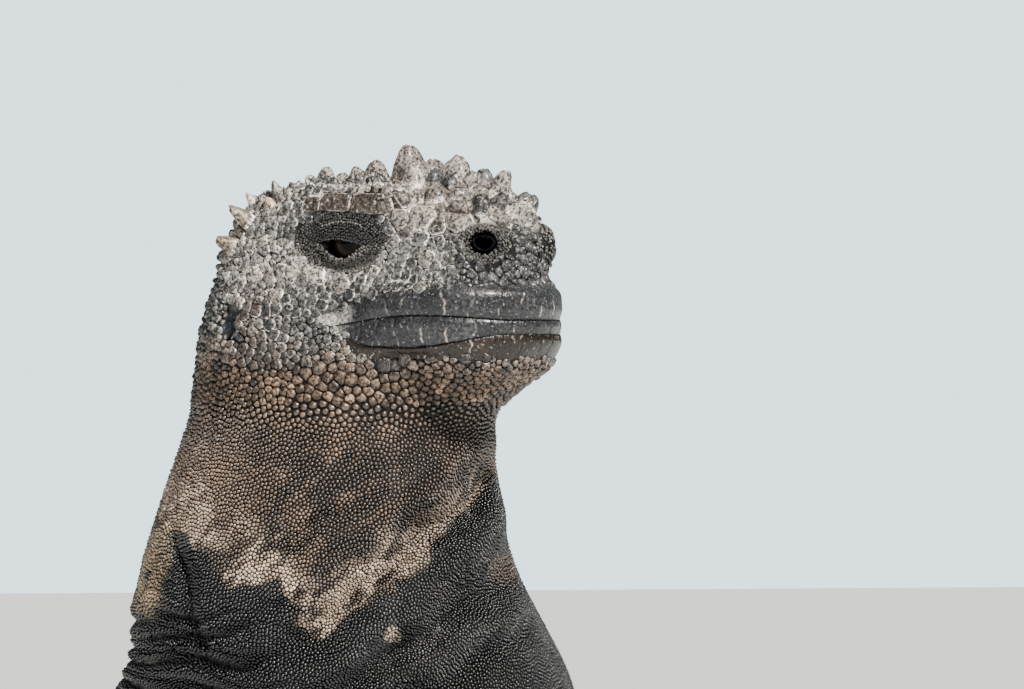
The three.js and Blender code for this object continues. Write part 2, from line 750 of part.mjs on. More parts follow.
// The first spines of the crest, on the back of the head
function napeSpines() {
  const spines = [];
  for (let step = 0; step < NAPE_SPINES; step += 1) {
    const climb = toRadians(NAPE_FROM + step * NAPE_STEP);
    const direction = headDirection(Math.cos(climb), 0, Math.sin(climb));
    const base = skinPoint(headPoint(SCUTE_ROWS.backHold, 0, SCUTE_ROWS.axisUp), direction);
    const out = skinNormal(base);
    const along = headDirection(-Math.sin(climb), 0, Math.cos(climb)).negate();
    spines.push(spike(base, out, along.negate(), {
      ...CREST, tall: varied(CREST_TALL_TRUNK), root: CREST.sunk,
    }));
  }
  return spines;
}

function mouthHeight(forward) {
  const share = (forward - MOUTH_CORNER) / (SNOUT_TIP - MOUTH_CORNER);
  return MOUTH_LEVEL + MOUTH_BOW * Math.sin(Math.PI * THREE.MathUtils.clamp(share, 0, 1));
}

// Everything under the mouth line and in front of the jaw's hinge, its upper edge moved by shift
function jawBlock(shift) {
  const slope = Math.hypot(JAW_HINGE_BACK, JAW_HINGE_DROP);
  const hingeOut = [-JAW_HINGE_DROP / slope, JAW_HINGE_BACK / slope];
  const mitre = shift / (1 + hingeOut[1]);
  const outline = new THREE.Shape();
  outline.moveTo(MOUTH_CORNER + hingeOut[0] * mitre, MOUTH_LEVEL + (1 + hingeOut[1]) * mitre);
  for (let step = 1; step <= MOUTH_STEPS; step += 1) {
    const forward = lerp(MOUTH_CORNER, SNOUT_TIP, step / MOUTH_STEPS);
    outline.lineTo(forward, mouthHeight(forward) + shift);
  }
  outline.lineTo(MOUTH_FRONT, MOUTH_LEVEL + shift);
  outline.lineTo(MOUTH_FRONT, -CUT_HALF_WIDTH);
  outline.lineTo(MOUTH_CORNER - 2 * JAW_HINGE_BACK, -CUT_HALF_WIDTH);
  outline.lineTo(
    MOUTH_CORNER - 2 * JAW_HINGE_BACK + hingeOut[0] * shift,
    MOUTH_LEVEL - 2 * JAW_HINGE_DROP + hingeOut[1] * shift,
  );
  const block = new THREE.ExtrudeGeometry(outline, { depth: 2 * CUT_HALF_WIDTH, bevelEnabled: false });
  block.rotateX(Math.PI / 2);
  block.translate(0, CUT_HALF_WIDTH, 0);
  return inHeadFrame(block);
}

// Head and lower jaw from one skin, parted along the mouth line
function headAndJaw() {
  const above = neckPlane(HALF_GAP);
  let whole = headSkin();
  const rim = NOSTRIL.centre.map((value, axis) => value - NOSTRIL.aim[axis] * NOSTRIL_RIM_BACK);
  for (const side of [1, -1]) {
    whole = whole.add(ellipsoid(LID_CENTRE, LID_RADII, side, LID_GRID));
    whole = whole.add(ellipsoid(rim, NOSTRIL_RIM_RADII, side, SMALL_GRID));
  }
  whole = whole.intersect(sideOf(above.point, above.normal));
  const jaw = largestPiece(whole.intersect(jawBlock(-HALF_GAP)));
  let head = joinedSolid([whole.subtract(jawBlock(HALF_GAP)), ...crownScutes(), ...napeSpines()]);
  for (const side of [1, -1]) {
    head = head.subtract(ellipsoid(EYE_CENTRE, Array(3).fill(SOCKET_RADIUS), side, SOCKET_GRID));
    head = head.subtract(lidSlit(side));
    head = head.subtract(nostrilHole(side));
    head = head.subtract(ellipsoid(EAR.centre, EAR.radii, side, SMALL_GRID));
  }
  return { head: largestPiece(head.intersect(sideOf(above.point, above.normal))), jaw };
}

// Limbs and feet

// A tube through stations, its sections carried round the bends without a twist
function limbTube(stations, [columns, rings], extra = 0) {
  const line = measured(stations);
  const frames = [];
  let squareOff = levelSides;
  for (let ring = 0; ring < rings; ring += 1) {
    const frame = frameAt(line, (line.length * ring) / (rings - 1), squareOff);
    frames.push(frame);
    squareOff = nearTo(frame.left);
  }
  const endCentre = (ring) => {
    const { centre, forward } = frames[ring];
    return centre.clone().addScaledVector(forward, ring === 0 ? -extra : extra);
  };
  return solidOf(tube(columns, rings, endCentre, (ring, angle) => {
    const { centre, forward, left, over, sizes } = frames[ring];
    const point = centre.clone();
    if (ring === 0 || ring === rings - 1) {
      point.addScaledVector(forward, ring === 0 ? -extra : extra);
    }
    point.addScaledVector(left, Math.cos(angle) * (sizes[0] + extra));
    return point.addScaledVector(over, Math.sin(angle) * (sizes[1] + extra));
  }));
}

// A place on the floor plan of a foot, ahead of its heel and turned from its heading
function footPlace(foot, ahead, aside, height) {
  const heading = toRadians(foot.heading);
  return [
    foot.heel[0] + ahead * Math.cos(heading) - aside * Math.sin(heading),
    foot.heel[1] + ahead * Math.sin(heading) + aside * Math.cos(heading),
    height,
  ];
}

// A claw that goes on from the flat end of a toe and bends down to the floor
function clawAfter(toe, angle) {
  const { long, half, narrow, bendAt, bendWidth, bendDepth, tipHalf, tipHeight, grid } = CLAW;
  const line = measured(toe);
  const end = frameAt(line, line.length, levelSides);
  const root = end.centre.clone().addScaledVector(end.forward, GAP);
  const bend = root.clone().addScaledVector(end.forward, bendAt);
  const tip = [root.x + long * Math.cos(angle), root.y + long * Math.sin(angle), tipHeight];
  return limbTube([
    [...root, half * narrow, half],
    [...bend, half * narrow * bendWidth, half * bendDepth],
    [...tip, tipHalf, tipHalf],
  ], grid);
}

// The sole, toes and claws of one foot
function footPieces(foot) {
  const { sole, halfWidth, halfHeight, toeHalf, tipHalf, toes } = FOOT_KINDS[foot.kind];
  const rest = halfHeight - PRESS;
  const soleStations = SOLE_SHAPE.map(([share, more, height, width, depth]) => [
    ...footPlace(foot, share * sole + more, 0, rest * height),
    halfWidth * width,
    halfHeight * depth,
  ]);
  const pieces = [limbTube(soleStations, SOLE_GRID)];
  const claws = toes.map(([long, turn], index) => {
    const angle = toRadians(foot.heading + foot.side * turn);
    const spread = (index / (toes.length - 1)) * 2 - 1;
    const root = footPlace(foot, sole, foot.side * spread * halfWidth * KNUCKLE_SPREAD, 0);
    const station = (ahead, height, half) => [
      root[0] + ahead * Math.cos(angle),
      root[1] + ahead * Math.sin(angle),
      height,
      half,
      half,
    ];
    const toe = [
      station(-TOE.rootSunk, toeHalf, toeHalf * TOE.rootSize),
      station(0, toeHalf + TOE.rootArch, toeHalf),
      station(long * TOE.archAt, toeHalf + TOE.arch, toeHalf * TOE.archSize),
      station(long * TOE.levelAt, tipHalf + PRESS, tipHalf),
      station(long, tipHalf - PRESS, tipHalf),
    ];
    pieces.push(limbTube(toe, TOE.grid));
    return clawAfter(toe, angle);
  });
  return { flesh: joinedSolid(pieces), claws };
}

// Assembly

const model = new THREE.Group();

function addNode(name, solid, finish) {
  const piece = largestPiece(solid);
  const mesh = piece.getMesh();
  const geometry = new THREE.BufferGeometry();
  const corners = new Float32Array((mesh.vertProperties.length / mesh.numProp) * 3);
  for (let index = 0; index < corners.length / 3; index += 1) {
    for (let axis = 0; axis < 3; axis += 1) {
      corners[3 * index + axis] = mesh.vertProperties[mesh.numProp * index + axis];
    }
  }
  geometry.setAttribute('position', new THREE.BufferAttribute(corners, 3));
  geometry.setIndex(Array.from(mesh.triVerts));
  geometry.computeVertexNormals();
  const material = new THREE.MeshStandardMaterial({ ...finish, metalness: 0 });
  const node = new THREE.Mesh(geometry, material);
  node.name = name;
  model.add(node);
}

const { head, jaw } = headAndJaw();
addNode('head', head, SCUTE_GREY);
addNode('jaw', jaw, LIP_SLATE);
for (const [name, side] of [['eye_left', 1], ['eye_right', -1]]) {
  addNode(name, ellipsoid(EYE_CENTRE, Array(3).fill(EYE_RADIUS), side, EYE_GRID), EYE_BROWN);
}

const tailTube = solidOf(spineTube(0, TAIL_ROOT + CREST.spacing, TAIL_COLUMNS, TAIL_RINGS));
for (let index = 0; index < TAIL_LENGTHS; index += 1) {
  const from = (TAIL_ROOT * (TAIL_LENGTHS - 1 - index)) / TAIL_LENGTHS;
  const to = (TAIL_ROOT * (TAIL_LENGTHS - index)) / TAIL_LENGTHS;
  addNode(`tail_${index + 1}`, spineLength(tailTube, from, to), HIDE_DARK);
}

const trunkTube = solidOf(spineTube(
  TAIL_ROOT - CREST.spacing,
  SPINE_LINE.length,
  TRUNK_COLUMNS,
  TRUNK_RINGS,
));
addNode('torso', spineLength(trunkTube, TAIL_ROOT, CHEST_BASE), HIDE_DARK);
addNode('chest', spineLength(trunkTube, CHEST_BASE, NECK_BASE), HIDE_DARK);
const underHead = neckPlane(-HALF_GAP);
addNode(
  'neck',
  spineLength(trunkTube, NECK_BASE, SKULL_BASE).intersect(sideOf(underHead.point, underHead.normal.negate())),
  HIDE_TAN,
);

const grownTrunk = solidOf(spineTube(
  TAIL_ROOT / 2,
  SKULL_BASE,
  TRUNK_COLUMNS,
  TRUNK_RINGS + TAIL_RINGS / 2,
  GAP + HALF_GAP,
));
for (const { name, lengths } of LIMBS) {
  const grownBy = (extra) => joinedSolid(
    lengths.map(({ stations, rings }) => limbTube(stations, [LIMB_COLUMNS, rings], extra)),
  );
  const limb = grownBy(0);
  const grownLimb = grownBy(GAP);
  const { flesh, claws } = footPieces(FEET[name]);
  addNode(`leg_${name}`, limb.subtract(grownTrunk).intersect(ABOVE_FLOOR), HIDE_DARK);
  addNode(`foot_${name}`, flesh.subtract(grownLimb).intersect(ABOVE_FLOOR), HIDE_DARK);
  claws.forEach((claw, index) => {
    addNode(`claw_${name}_${index + 1}`, claw.intersect(ABOVE_FLOOR), CLAW_HORN);
  });
}

// The origin is on the floor under the middle of the whole animal
const bounds = new THREE.Box3().setFromObject(model);
const middle = bounds.getCenter(new THREE.Vector3());
for (const node of model.children) {
  node.position.set(-middle.x, -middle.y, -bounds.min.z);
}

export default model;
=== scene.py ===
"""Marine iguana, a still museum model at life size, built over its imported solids.

Shapes are worked out in millimetres in the body's own frame: +X the way the trunk points,
+Y the animal's left, +Z up. They go into the meshes in metres in the frame of the solids.
"""

import math

import bpy
import numpy as np
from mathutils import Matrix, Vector


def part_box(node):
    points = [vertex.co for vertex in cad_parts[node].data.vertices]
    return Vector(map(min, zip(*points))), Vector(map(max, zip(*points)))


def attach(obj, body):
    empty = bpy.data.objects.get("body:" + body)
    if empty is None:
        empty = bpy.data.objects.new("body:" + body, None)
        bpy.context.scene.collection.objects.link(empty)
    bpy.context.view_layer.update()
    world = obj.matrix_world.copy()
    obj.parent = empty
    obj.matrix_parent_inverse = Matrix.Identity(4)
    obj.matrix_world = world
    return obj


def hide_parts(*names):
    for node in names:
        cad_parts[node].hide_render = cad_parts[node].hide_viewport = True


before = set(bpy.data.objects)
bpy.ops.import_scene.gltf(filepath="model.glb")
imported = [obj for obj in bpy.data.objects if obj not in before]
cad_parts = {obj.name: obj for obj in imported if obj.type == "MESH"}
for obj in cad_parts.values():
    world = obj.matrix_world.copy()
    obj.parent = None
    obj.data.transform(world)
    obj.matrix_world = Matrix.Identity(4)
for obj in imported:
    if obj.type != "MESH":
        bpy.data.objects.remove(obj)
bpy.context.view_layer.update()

bl_info = {
    "name": "Marine Iguana",
    "version": (1, 0, 0),
    "blender": (4, 5, 0),
    "location": "3D View > Sidebar > Iguana",
    "description": "Builds the skin, scales, eyes and claws of a life-size marine iguana",
    "category": "Add Mesh",
}

MILLIMETRE = 0.001
TINY = 1e-6
FAR_AWAY = 1e3
CHUNK = 40000
NEAR_STRIDE = 4
SEARCH_STEPS = 16
UP = np.array([0.0, 0.0, 1.0])

# A quick build takes a coarser skin and larger scales
QUICK_CELL = 1.0
QUICK_SCALES = 1.0

# Light and floor, and the place on the head that the camera's distance is taken to
CAMERA_TARGET = [30, -8, 8]
KEY_COLOUR = (1.0, 0.965, 0.91)
FILL_COLOUR = (0.86, 0.93, 1.0)
FILL_SIZE = 1.6
FLOOR_HALF = 6.0

# The hide's specks of salt, the depth of its relief, and a scale's patch on the map
SALT_WHITE = (0.72, 0.70, 0.66, 1)
RELIEF_DEPTH = 0.0003
BAKE_PATCH = 0.003

# Spine stations from tail tip to skull:
# [x, y, z, half width, height over the line, depth under it, heading in degrees]
# A tail station takes its heading from the line itself
SPINE = [
    [-735, -8, 4, 1.5, 3, 4],
    [-690, 0, 8, 3.2, 6, 8],
    [-620, 26, 11.5, 5, 10, 12],
    [-540, 44, 15, 7.5, 14, 15.5],
    [-460, 42, 18, 10, 17, 18.5],
    [-380, 24, 20.5, 13.5, 19, 21],
    [-300, 6, 24, 19, 22, 24.5],
    [-228, 0, 29, 27, 26, 29.6],
    [-200, 0, 36, 37, 31, 37.8, 0],
    [-160, 0, 43, 48, 34, 44.8, 0],
    [-115, 0, 53, 55, 36, 49, 0],
    [-72, 4.5, 68, 54, 38, 47, 0],
    [-38, 8.6, 88, 51, 38, 44, 0],
    [-16, 9.2, 110, 48, 34.5, 41.5, 3],
    [-8, 4.4, 126, 44, 32.6, 38.6, 9],
    [-3.3, 1, 140, 38.2, 31.8, 36, 16],
    [0.6, 1.6, 164, 29.8, 32, 32.6, 27],
    [-2.5, -0.4, 186, 24, 25.5, 26, 34],
    [-4.5, -1.6, 199, 13, 13, 13, 34],
]
SPINE_RINGS = 300
SPINE_COLUMNS = 72
TAIL_CLEAR = 14

# The head has its own frame: forward, out to the animal's left, up, from the neck axis at the
# mouth line
HEAD_HEADING = math.radians(34)
HEAD_ORIGIN = np.array([-5.4, -2.2, 186.2])
HEAD_FIELD_FROM = 150
NECK_BLEND = 7
CRANIUM = dict(centre=[11, 0, 11.5], radii=[26.5, 22, 16.2], power=2.3, blend=0)
JAW_MUSCLE = dict(centre=[2, 12.5, -1], radii=[15, 13, 15], power=2, blend=6)
SNOUT = dict(centre=[34, 0, 9.5], radii=[20.8, 17, 17.5], power=2.5, blend=8)
LOWER_JAW = dict(centre=[31, 0, -5.5], radii=[26, 18.3, 9.5], power=2.6, blend=3)
UPPER_LIP = dict(forward=35.5, radii=[23.5, 20.3], up=2.9, half=3.7, blend=3.4)
LOWER_LIP = dict(forward=35, radii=[23.6, 20.3], up=-3.3, half=3.8, blend=2.0)
THROAT = dict(centre=[25, 0, -12], radii=[23, 17, 11], power=2, blend=6)
ORBIT = dict(centre=[22.5, 23.8, 13.8], radii=[10.5, 6, 7.6], power=2, blend=4)
BROW = dict(start=[11, 15, 22.6], end=[32, 13, 23.2], radii=[3.8, 3.4], blend=4)
NOSTRIL_MOUND = dict(centre=[50.6, 8.6, 14.6], radii=[4.4, 3.6, 4.0], power=2, blend=3)
NOSTRIL_RIM = dict(centre=[50.6, 8.6, 14.6], radii=[4.3, 3.5, 3.9], power=2, blend=1.5)
LIP_ROUNDING = 2.6
LIP_COLUMNS = 660
LIP_END = 137
UNDER_LIP_END = 115
LIP_TAPER = [100, 0.88]
LIP_REACH = [6.0, -5.6, -8.8]
# How the edges of the upper and the lower lip's band drift forward: [forward, share of the reach]
UPPER_DRIFT = [[20, 30, 36, 42, 50, 58], [0.75, 0.78, 0.88, 1.02, 1.15, 1.22]]
LOWER_DRIFT = [[28, 34, 39, 44, 49, 54, 58], [1.0, 1.06, 1.09, 1.06, 0.94, 0.76, 0.6]]
MOUTH = dict(corner=22, front=59, level=-0.5, bow=1.1, drop=1.3)

# Eyes, lids, nostrils and ears, in the head's frame
EYE_CENTRE = np.array([22.6, 12.3, 14.3])
EYE_RAISED = 0.6
EYE_RADIUS = 6.1
SOCKET_RADIUS = 7
LID_CENTRE = np.array([22.2, 12.4, 14.9])
LID_PATCH = [10.6, 5.9]
LID_RADII = np.array([10.6, 7.1, 7.2])
NOSTRIL_CENTRE = np.array([51.8, 10.1, 14.8])
NOSTRIL_AIM = np.array([0.55, 0.8, 0.12])
NOSTRIL_HALF = [1.85, 1.45]
NOSTRIL_PIT = [6.5, 2.35, 1.9]
# Nostril cup profile: share of the half widths, millimetres out along its aim
NOSTRIL_CUP = [
    [0.7, -5.6], [1.16, -4.2], [1.2, -1.8], [1.16, -0.9], [1.08, -0.6], [1.02, -0.52], [0.97, -0.6],
    [0.92, -0.8], [0.86, -1.3], [0.78, -2.2], [0.6, -3.6], [0.3, -4.6],
]
NOSTRIL_RINGS = 2.6
NOSTRIL_ROWS = 7
PIT_DEPTH = 6
LID_ROWS = 11
SLIT = dict(back=[-5.3, 0.3], front=[5.2, -0.5], over=0.8, under=-3.0)
EAR_CENTRE = np.array([-1, 25.2, 0])
EAR_RADII = np.array([2.3, 2.3, 4.0])

# Limbs: lengths of stations [x, y, z, half width, half height] down to the wrist or ankle
LIMBS = {
    "front_left": [[[-20, 28, 92, 16, 18], [-26, 47, 80, 14, 16.5], [-36, 64, 62, 11, 13],
                    [-42, 75, 49, 9.8, 10.8], [-30, 74, 33, 9.8, 10], [-15, 71.5, 18, 7.5, 6.6],
                    [-8, 70.5, 7, 5.6, 3.6]]],
    "front_right": [[[-22, -14, 92, 16, 18], [-29, -34, 80, 14, 16.5], [-40, -53, 62, 11, 13],
                     [-47, -64, 49, 9.8, 10.8], [-37, -65, 33, 9.8, 10], [-24, -64, 18, 7.5, 6.6],
                     [-17, -63.5, 7, 5.6, 3.6]]],
    "hind_left": [[[-205, 16, 36, 19, 18], [-193, 38, 39, 18, 17], [-175, 60, 40, 14.5, 14],
                   [-162, 71, 38.5, 11, 11.2], [-156, 76, 37.5, 6, 6]],
                  [[-157, 71, 43, 5.5, 5.5], [-160, 73.5, 37, 9.8, 10], [-173, 80, 27, 10.2, 10],
                   [-189, 88, 15.5, 7.6, 7.2], [-198, 92, 7.4, 5.6, 4]]],
    "hind_right": [[[-205, -16, 36, 19, 18], [-196, -38, 38, 18, 17], [-181, -61, 37.5, 14.5, 14],
                    [-170, -74, 36, 11, 11.2], [-165, -79.5, 35, 6, 6]],
                   [[-166, -75, 40.5, 5.5, 5.5], [-170, -77, 34.5, 9.8, 10],
                    [-184, -82, 25, 10.2, 10], [-202, -86, 15, 7.6, 7.2],
                    [-212, -88, 7.4, 5.6, 4]]],
}
LIMB_BLEND = 8
KNEE_BLEND = 3
LIMB_RINGS = 40

# Feet: heel and heading, and each toe's length and turn from the foot's heading
FEET = {
    "front_left": dict(heel=[-9, 70.5], heading=12, side=1, kind="front"),
    "front_right": dict(heel=[-18, -63.5], heading=-16, side=-1, kind="front"),
    "hind_left": dict(heel=[-200, 92.5], heading=16, side=1, kind="hind"),
    "hind_right": dict(heel=[-214, -88.5], heading=-18, side=-1, kind="hind"),
}
FOOT_KINDS = {
    "front": dict(sole=17, half_width=8.6, half_height=5.2, toe_half=3.1, tip_half=2.3,
                  toes=[[12, -42], [18, -20], [22, -2], [22, 17], [15, 40]]),
    "hind": dict(sole=27, half_width=8.2, half_height=5.4, toe_half=3.3, tip_half=2.4,
                 toes=[[16, -34], [24, -17], [34, -3], [44, 11], [22, 33]]),
}
# Sole stations: share of the sole's length, more millimetres ahead, height, width, depth shares
SOLE_SHAPE = [
    [0, -6, 0.9, 0.36, 0.4],
    [0, -3, 1, 0.72, 0.86],
    [0, 1, 1, 0.82, 1],
    [0.55, 0, 1, 0.9, 1],
    [1, 0, 0.8, 1, 0.8],
    [1, 3.5, 0.66, 0.8, 0.66],
]
TOE_ROOT_SUNK = 7
TOE_ROOT_ARCH = 1.04
TOE_ARCH = 2.6
PRESS = 0.25
KNUCKLE_SPREAD = 0.8
TOE_RINGS = 16
FOOT_BLEND = 2.2
CLAW_LONG = 7.5
CLAW_HALF = 1.7
CLAW_NARROW = 0.72
CLAW_GAP = 0.3

# How far the skin lies under the solids, so that its scales come out to them
SKIN_DEPTH = 0.45
HEAD_GAIN = 1.75
FLOOR_CLEAR = 0.35
FLOOR_GAP = 0.02

# The camera's side of the neck, as directions in the body's frame
CAMERA_AZIMUTH = math.radians(72)
ACROSS = np.array([math.cos(CAMERA_AZIMUTH), math.sin(CAMERA_AZIMUTH), 0.0])
TOWARD = np.array([math.sin(CAMERA_AZIMUTH), -math.cos(CAMERA_AZIMUTH), 0.0])

# Folds of the throat and shoulder: start and end [across, up], then depth and width
NECK_FOLDS = [
    [-8, 117.5, 36, 158, 3.6, 3.6],
    [-2, 108, 44, 143, 3.4, 3.8],
    [-14, 127, 24, 148, 1.5, 1.9],
    [-20, 133, 8, 151, 0.9, 1.4],
    [4, 104, 46, 127, 1.8, 2.2],
    [-44, 125, -20, 128, 1.5, 1.1],
    [-44, 121, -16, 124, 1.7, 1.4],
    [-44, 117, -10, 118, 1.8, 1.5],
    [-44, 112, -12, 112, 1.8, 1.5],
    [-30, 146, -24, 118, 1.2, 1.3],
    [-44, 106, -6, 106, 1.8, 1.4],
]
FOLD_BULGE = 0.45
FOLD_ZONE = [96, 168]
WRINKLE_DEPTH = 1.1

# Heights from which the head's looks and its map count, and up to which the limbs' do
HEAD_LOOKS_FROM = 156
HEAD_MAP_FROM = 172
LIMBS_UP_TO = 100
LIMB_MAP_UP_TO = 84

# Lean of the throat's blotches, and the spacing from which a head scale counts as a scute
BLOTCH_LEAN = math.radians(38)
LARGE_FROM = 2.15

# Scale sizes over the head: [forward, aside, up, spacing, height as a share of it, sharpness]
HEAD_SCALES = np.array([
    [29, 4, 27, 6.4, 0.60, 0.85],
    [36, 9, 25, 6.4, 0.42, 0.60],
    [42, 6, 25, 6.2, 0.62, 0.80],
    [48, 4, 23, 5.4, 0.66, 0.85],
    [54, 4, 19, 4.6, 0.50, 0.75],
    [27, 11, 25, 5.4, 0.30, 0.40],
    [39, 13.5, 21, 4.2, 0.20, 0.15],
    [34, 16, 18, 3.4, 0.13, 0.10],
    [45, 12.5, 19, 3.4, 0.20, 0.15],
    [41, 16, 14, 2.8, 0.12, 0.05],
    [56, 8, 12, 1.9, 0.28, 0.20],
    [57, 0, 13, 2.4, 0.30, 0.20],
    [52, 11, 16, 1.25, 0.30, 0.10],
    [47, 14.5, 11, 1.6, 0.26, 0.10],
    [52, 11, 8, 1.7, 0.24, 0.10],
    [36, 18, 9, 2.2, 0.12, 0.05],
    [30, 19.5, 7, 2.1, 0.11, 0.05],
    [22, 20, 6.5, 2.2, 0.11, 0.05],
    [13, 21, 7.5, 2.4, 0.13, 0.05],
    [22.6, 19, 14, 1.1, 0.24, 0.05],
    [34, 18.2, 14, 1.4, 0.26, 0.05],
    [22.5, 18.5, 21.6, 1.2, 0.24, 0.05],
    [10.5, 20.5, 14.5, 1.5, 0.28, 0.10],
    [22.6, 20, 7.6, 1.4, 0.22, 0.05],
    [19, 14, 26.2, 1.7, 0.14, 0.0],
    [27, 13, 26, 1.9, 0.14, 0.0],
    [18, 9.5, 28, 2.3, 0.62, 0.9],
    [26, 9, 28, 2.6, 0.55, 0.9],
    [11, 9, 27.5, 2.2, 0.6, 0.9],
    [0, 5, 27.5, 2.2, 0.50, 0.90],
    [3, 13, 25, 2.8, 0.55, 0.90],
    [-8, 8, 24, 2.3, 0.60, 0.95],
    [-14, 0, 17, 1.9, 0.50, 0.90],
    [-12, 14, 14, 2.0, 0.46, 0.80],
    [5, 20, 16, 2.4, 0.22, 0.30],
    [8, 22, 5, 2.5, 0.15, 0.10],
    [2, 24, 9, 2.1, 0.30, 0.25],
    [13, 21.5, -1, 2.1, 0.15, 0.08],
    [4, 24.5, -2, 2.0, 0.30, 0.20],
    [-1, 24.5, 4, 1.9, 0.24, 0.10],
    [-6, 22, 0, 1.5, 0.34, 0.30],
    [-13, 18, 0, 1.4, 0.36, 0.40],
    [20, 20.5, -2.5, 1.6, 0.28, 0.05],
    [12, 21.5, -9, 1.9, 0.34, 0.05],
    [21, 18.5, -12, 2.7, 0.32, 0.0],
    [31, 16, -14, 2.1, 0.34, 0.0],
    [34, 17, -10, 2.4, 0.30, 0.0],
    [44, 12, -10, 2.0, 0.30, 0.0],
    [41, 12, -13, 1.6, 0.36, 0.0],
    [50, 7, -11.5, 1.5, 0.36, 0.0],
    [32, 8, -19, 1.25, 0.42, 0.0],
    [16, 17, -18, 1.4, 0.42, 0.0],
    [0, 20, -14, 1.25, 0.42, 0.05],
    [-13, 12, -14, 1.2, 0.44, 0.30],
])
SHEPARD_SOFT = 2.2
# Scale spacing by distance from the skull along the spine
SPINE_SPACING = [
    [0, 1.15], [25, 1.0], [42, 0.9], [62, 0.85], [88, 0.86], [110, 1.15],
    [150, 1.9], [200, 2.4], [420, 2.5], [600, 2.3], [780, 1.4],
]
LIMB_SPACING = 2.0
FOOT_SPACING = 1.6
BEAD_HEIGHT = 0.48
SCALE_REACH = 0.64
HEAD_SCALES_FROM = -17

# Single large scutes: [forward, aside, up, size, height share, sharpness]; aside 0 is the ridge
LARGE_SCUTES = [
    [24.8, 0, 27.5, 9.4, 0.7, 0.72],
    [36.6, 0, 26.8, 8.8, 0.78, 0.74],
    [42.6, 0, 25.4, 4.6, 0.4, 0.6],
    [46.6, 0, 24.0, 6.4, 0.92, 0.78],
    [52.0, 0, 20.6, 6.0, 0.8, 0.78],
    [31.6, 6.6, 26.8, 8.4, 0.55, 0.8],
    [45.6, 3.6, 24.6, 4.8, 0.45, 0.5],
    [29.9, 11.6, 25.4, 6.0, 0.2, 0.2],
    [39.8, 14.3, 20.0, 7.2, 0.16, 0.12],
    [34.6, 15.4, 19.6, 4.8, 0.15, 0.1],
    [42.0, 16.0, 12.0, 4.4, 0.1, 0.05],
    [37.4, 10.4, 24.2, 6.0, 0.2, 0.2],
    [46.8, 12.0, 19.4, 6.2, 0.16, 0.12],
    [43.4, 7.4, 23.8, 6.0, 0.3, 0.4],
    [52.2, 5.4, 19.8, 6.2, 0.25, 0.3],
    [17.0, 20, 8.5, 4.8, 0.13, 0.05],
    [11.5, 21, 8.5, 4.8, 0.15, 0.08],
    [22.6, 19.5, 6.6, 4.4, 0.12, 0.05],
    [3.4, 22, 8.5, 4.6, 0.16, 0.1],
    [9.3, 22, 4.0, 3.3, 0.18, 0.1],
    [2.7, 23, 2.9, 3.2, 0.2, 0.15],
    [-1.4, 24, 6.4, 2.8, 0.26, 0.2],
    [5.6, 23, -3.2, 3.0, 0.22, 0.15],
    [4.8, 17, 21.8, 3.8, 0.24, 0.3],
    [10.0, 15.5, 24.4, 3.0, 0.3, 0.3],
    [16.3, 0, 28, 6.4, 0.76, 0.6],
    [11.4, 0, 28, 5.0, 0.66, 0.6],
    [7.4, 0, 28, 3.6, 0.66, 0.6],
    [3.4, 0, 28, 5.0, 0.66, 0.6],
    [-0.6, 0, 27.5, 3.7, 0.72, 0.65],
    [-4.2, 0, 27, 3.4, 0.72, 0.65],
    [-7.4, 0, 25.5, 3.3, 0.72, 0.7],
    [-10.2, 0, 23, 3.2, 0.75, 0.7],
    [-13, 0, 19.5, 3.0, 0.75, 0.75],
    [0.5, 12.0, 25.5, 3.4, 0.9, 0.95],
    [-5.0, 12.5, 23.0, 3.4, 0.95, 0.95],
    [-3.4, 17.6, 19.8, 5.2, 1.15, 0.95],
    [-6.5, 19.5, 15.2, 5.4, 0.7, 0.8],
    [1.5, 16.5, 23.5, 3.6, 0.6, 0.7],
]
YELLOW_SCUTES = slice(-3, None)
# Plates over the eye: [forward, aside, up, half length, half height]
BROW_PLATES = [[14.6, 17.2, 22.4, 1.9, 1.6], [20.2, 17.0, 22.9, 3.6, 2.0], [27.6, 16.4, 22.7, 3.8, 2.2]]

# Lower border of the pale throat on the camera's side: [across, up]
THROAT_BORDER = np.array([
    [-46, 150], [-33, 144], [-26, 142], [-21, 132], [-9.4, 133.5], [-7.8, 127],
    [-3.8, 121.5], [0.6, 125], [7.6, 128.8], [18, 135.8], [33, 154.8], [46, 166],
])


def linear(code):
    """Linear colour of a six-digit colour code: each part to the power 2.2."""
    return np.array([(int(code[i:i + 2], 16) / 255) ** 2.2 for i in (0, 2, 4)])


BLACK_HIDE = linear("101113")
GREY_HIDE = linear("525254")
TAN_HIDE = linear("745f4e")
BROWN_HIDE = linear("524335")
DARK_BLOTCH = linear("29221e")
PALE_THROAT = linear("d6bea6")
YELLOW_PATCH = linear("a8906f")
HEAD_GREY = linear("75736f")
HEAD_SLATE = linear("4b4a4b")
HORN_TAN = linear("a69a90")
HORN_YELLOW = linear("95806b")
MORTAR = linear("e6d6c6")
EDGE_PALE = linear("ece4da")
LIP_SLATE = linear("313133")
LIP_BROWN = linear("261e17")
BROW_SHADE = linear("4c453e")
EAR_BLUE = linear("3c444f")
LID_BLACK = linear("1f1f21")
LID_GREY = linear("6f6e6c")
LID_PALE = linear("b5ada2")
IRIS_BROWN = linear("2b2219")
IRIS_EDGE = linear("20130a")
PUPIL_BLACK = np.array([0.002, 0.002, 0.002])
CLAW_DARK = linear("1d1a18")


# Distances


def smooth_min(a, b, blend):
    """The lesser of two distances, rounded where they differ by less than blend."""
    near = np.maximum(blend - np.abs(a - b), 0.0) / max(blend, TINY)
    return np.minimum(a, b) - near * near * blend / 4


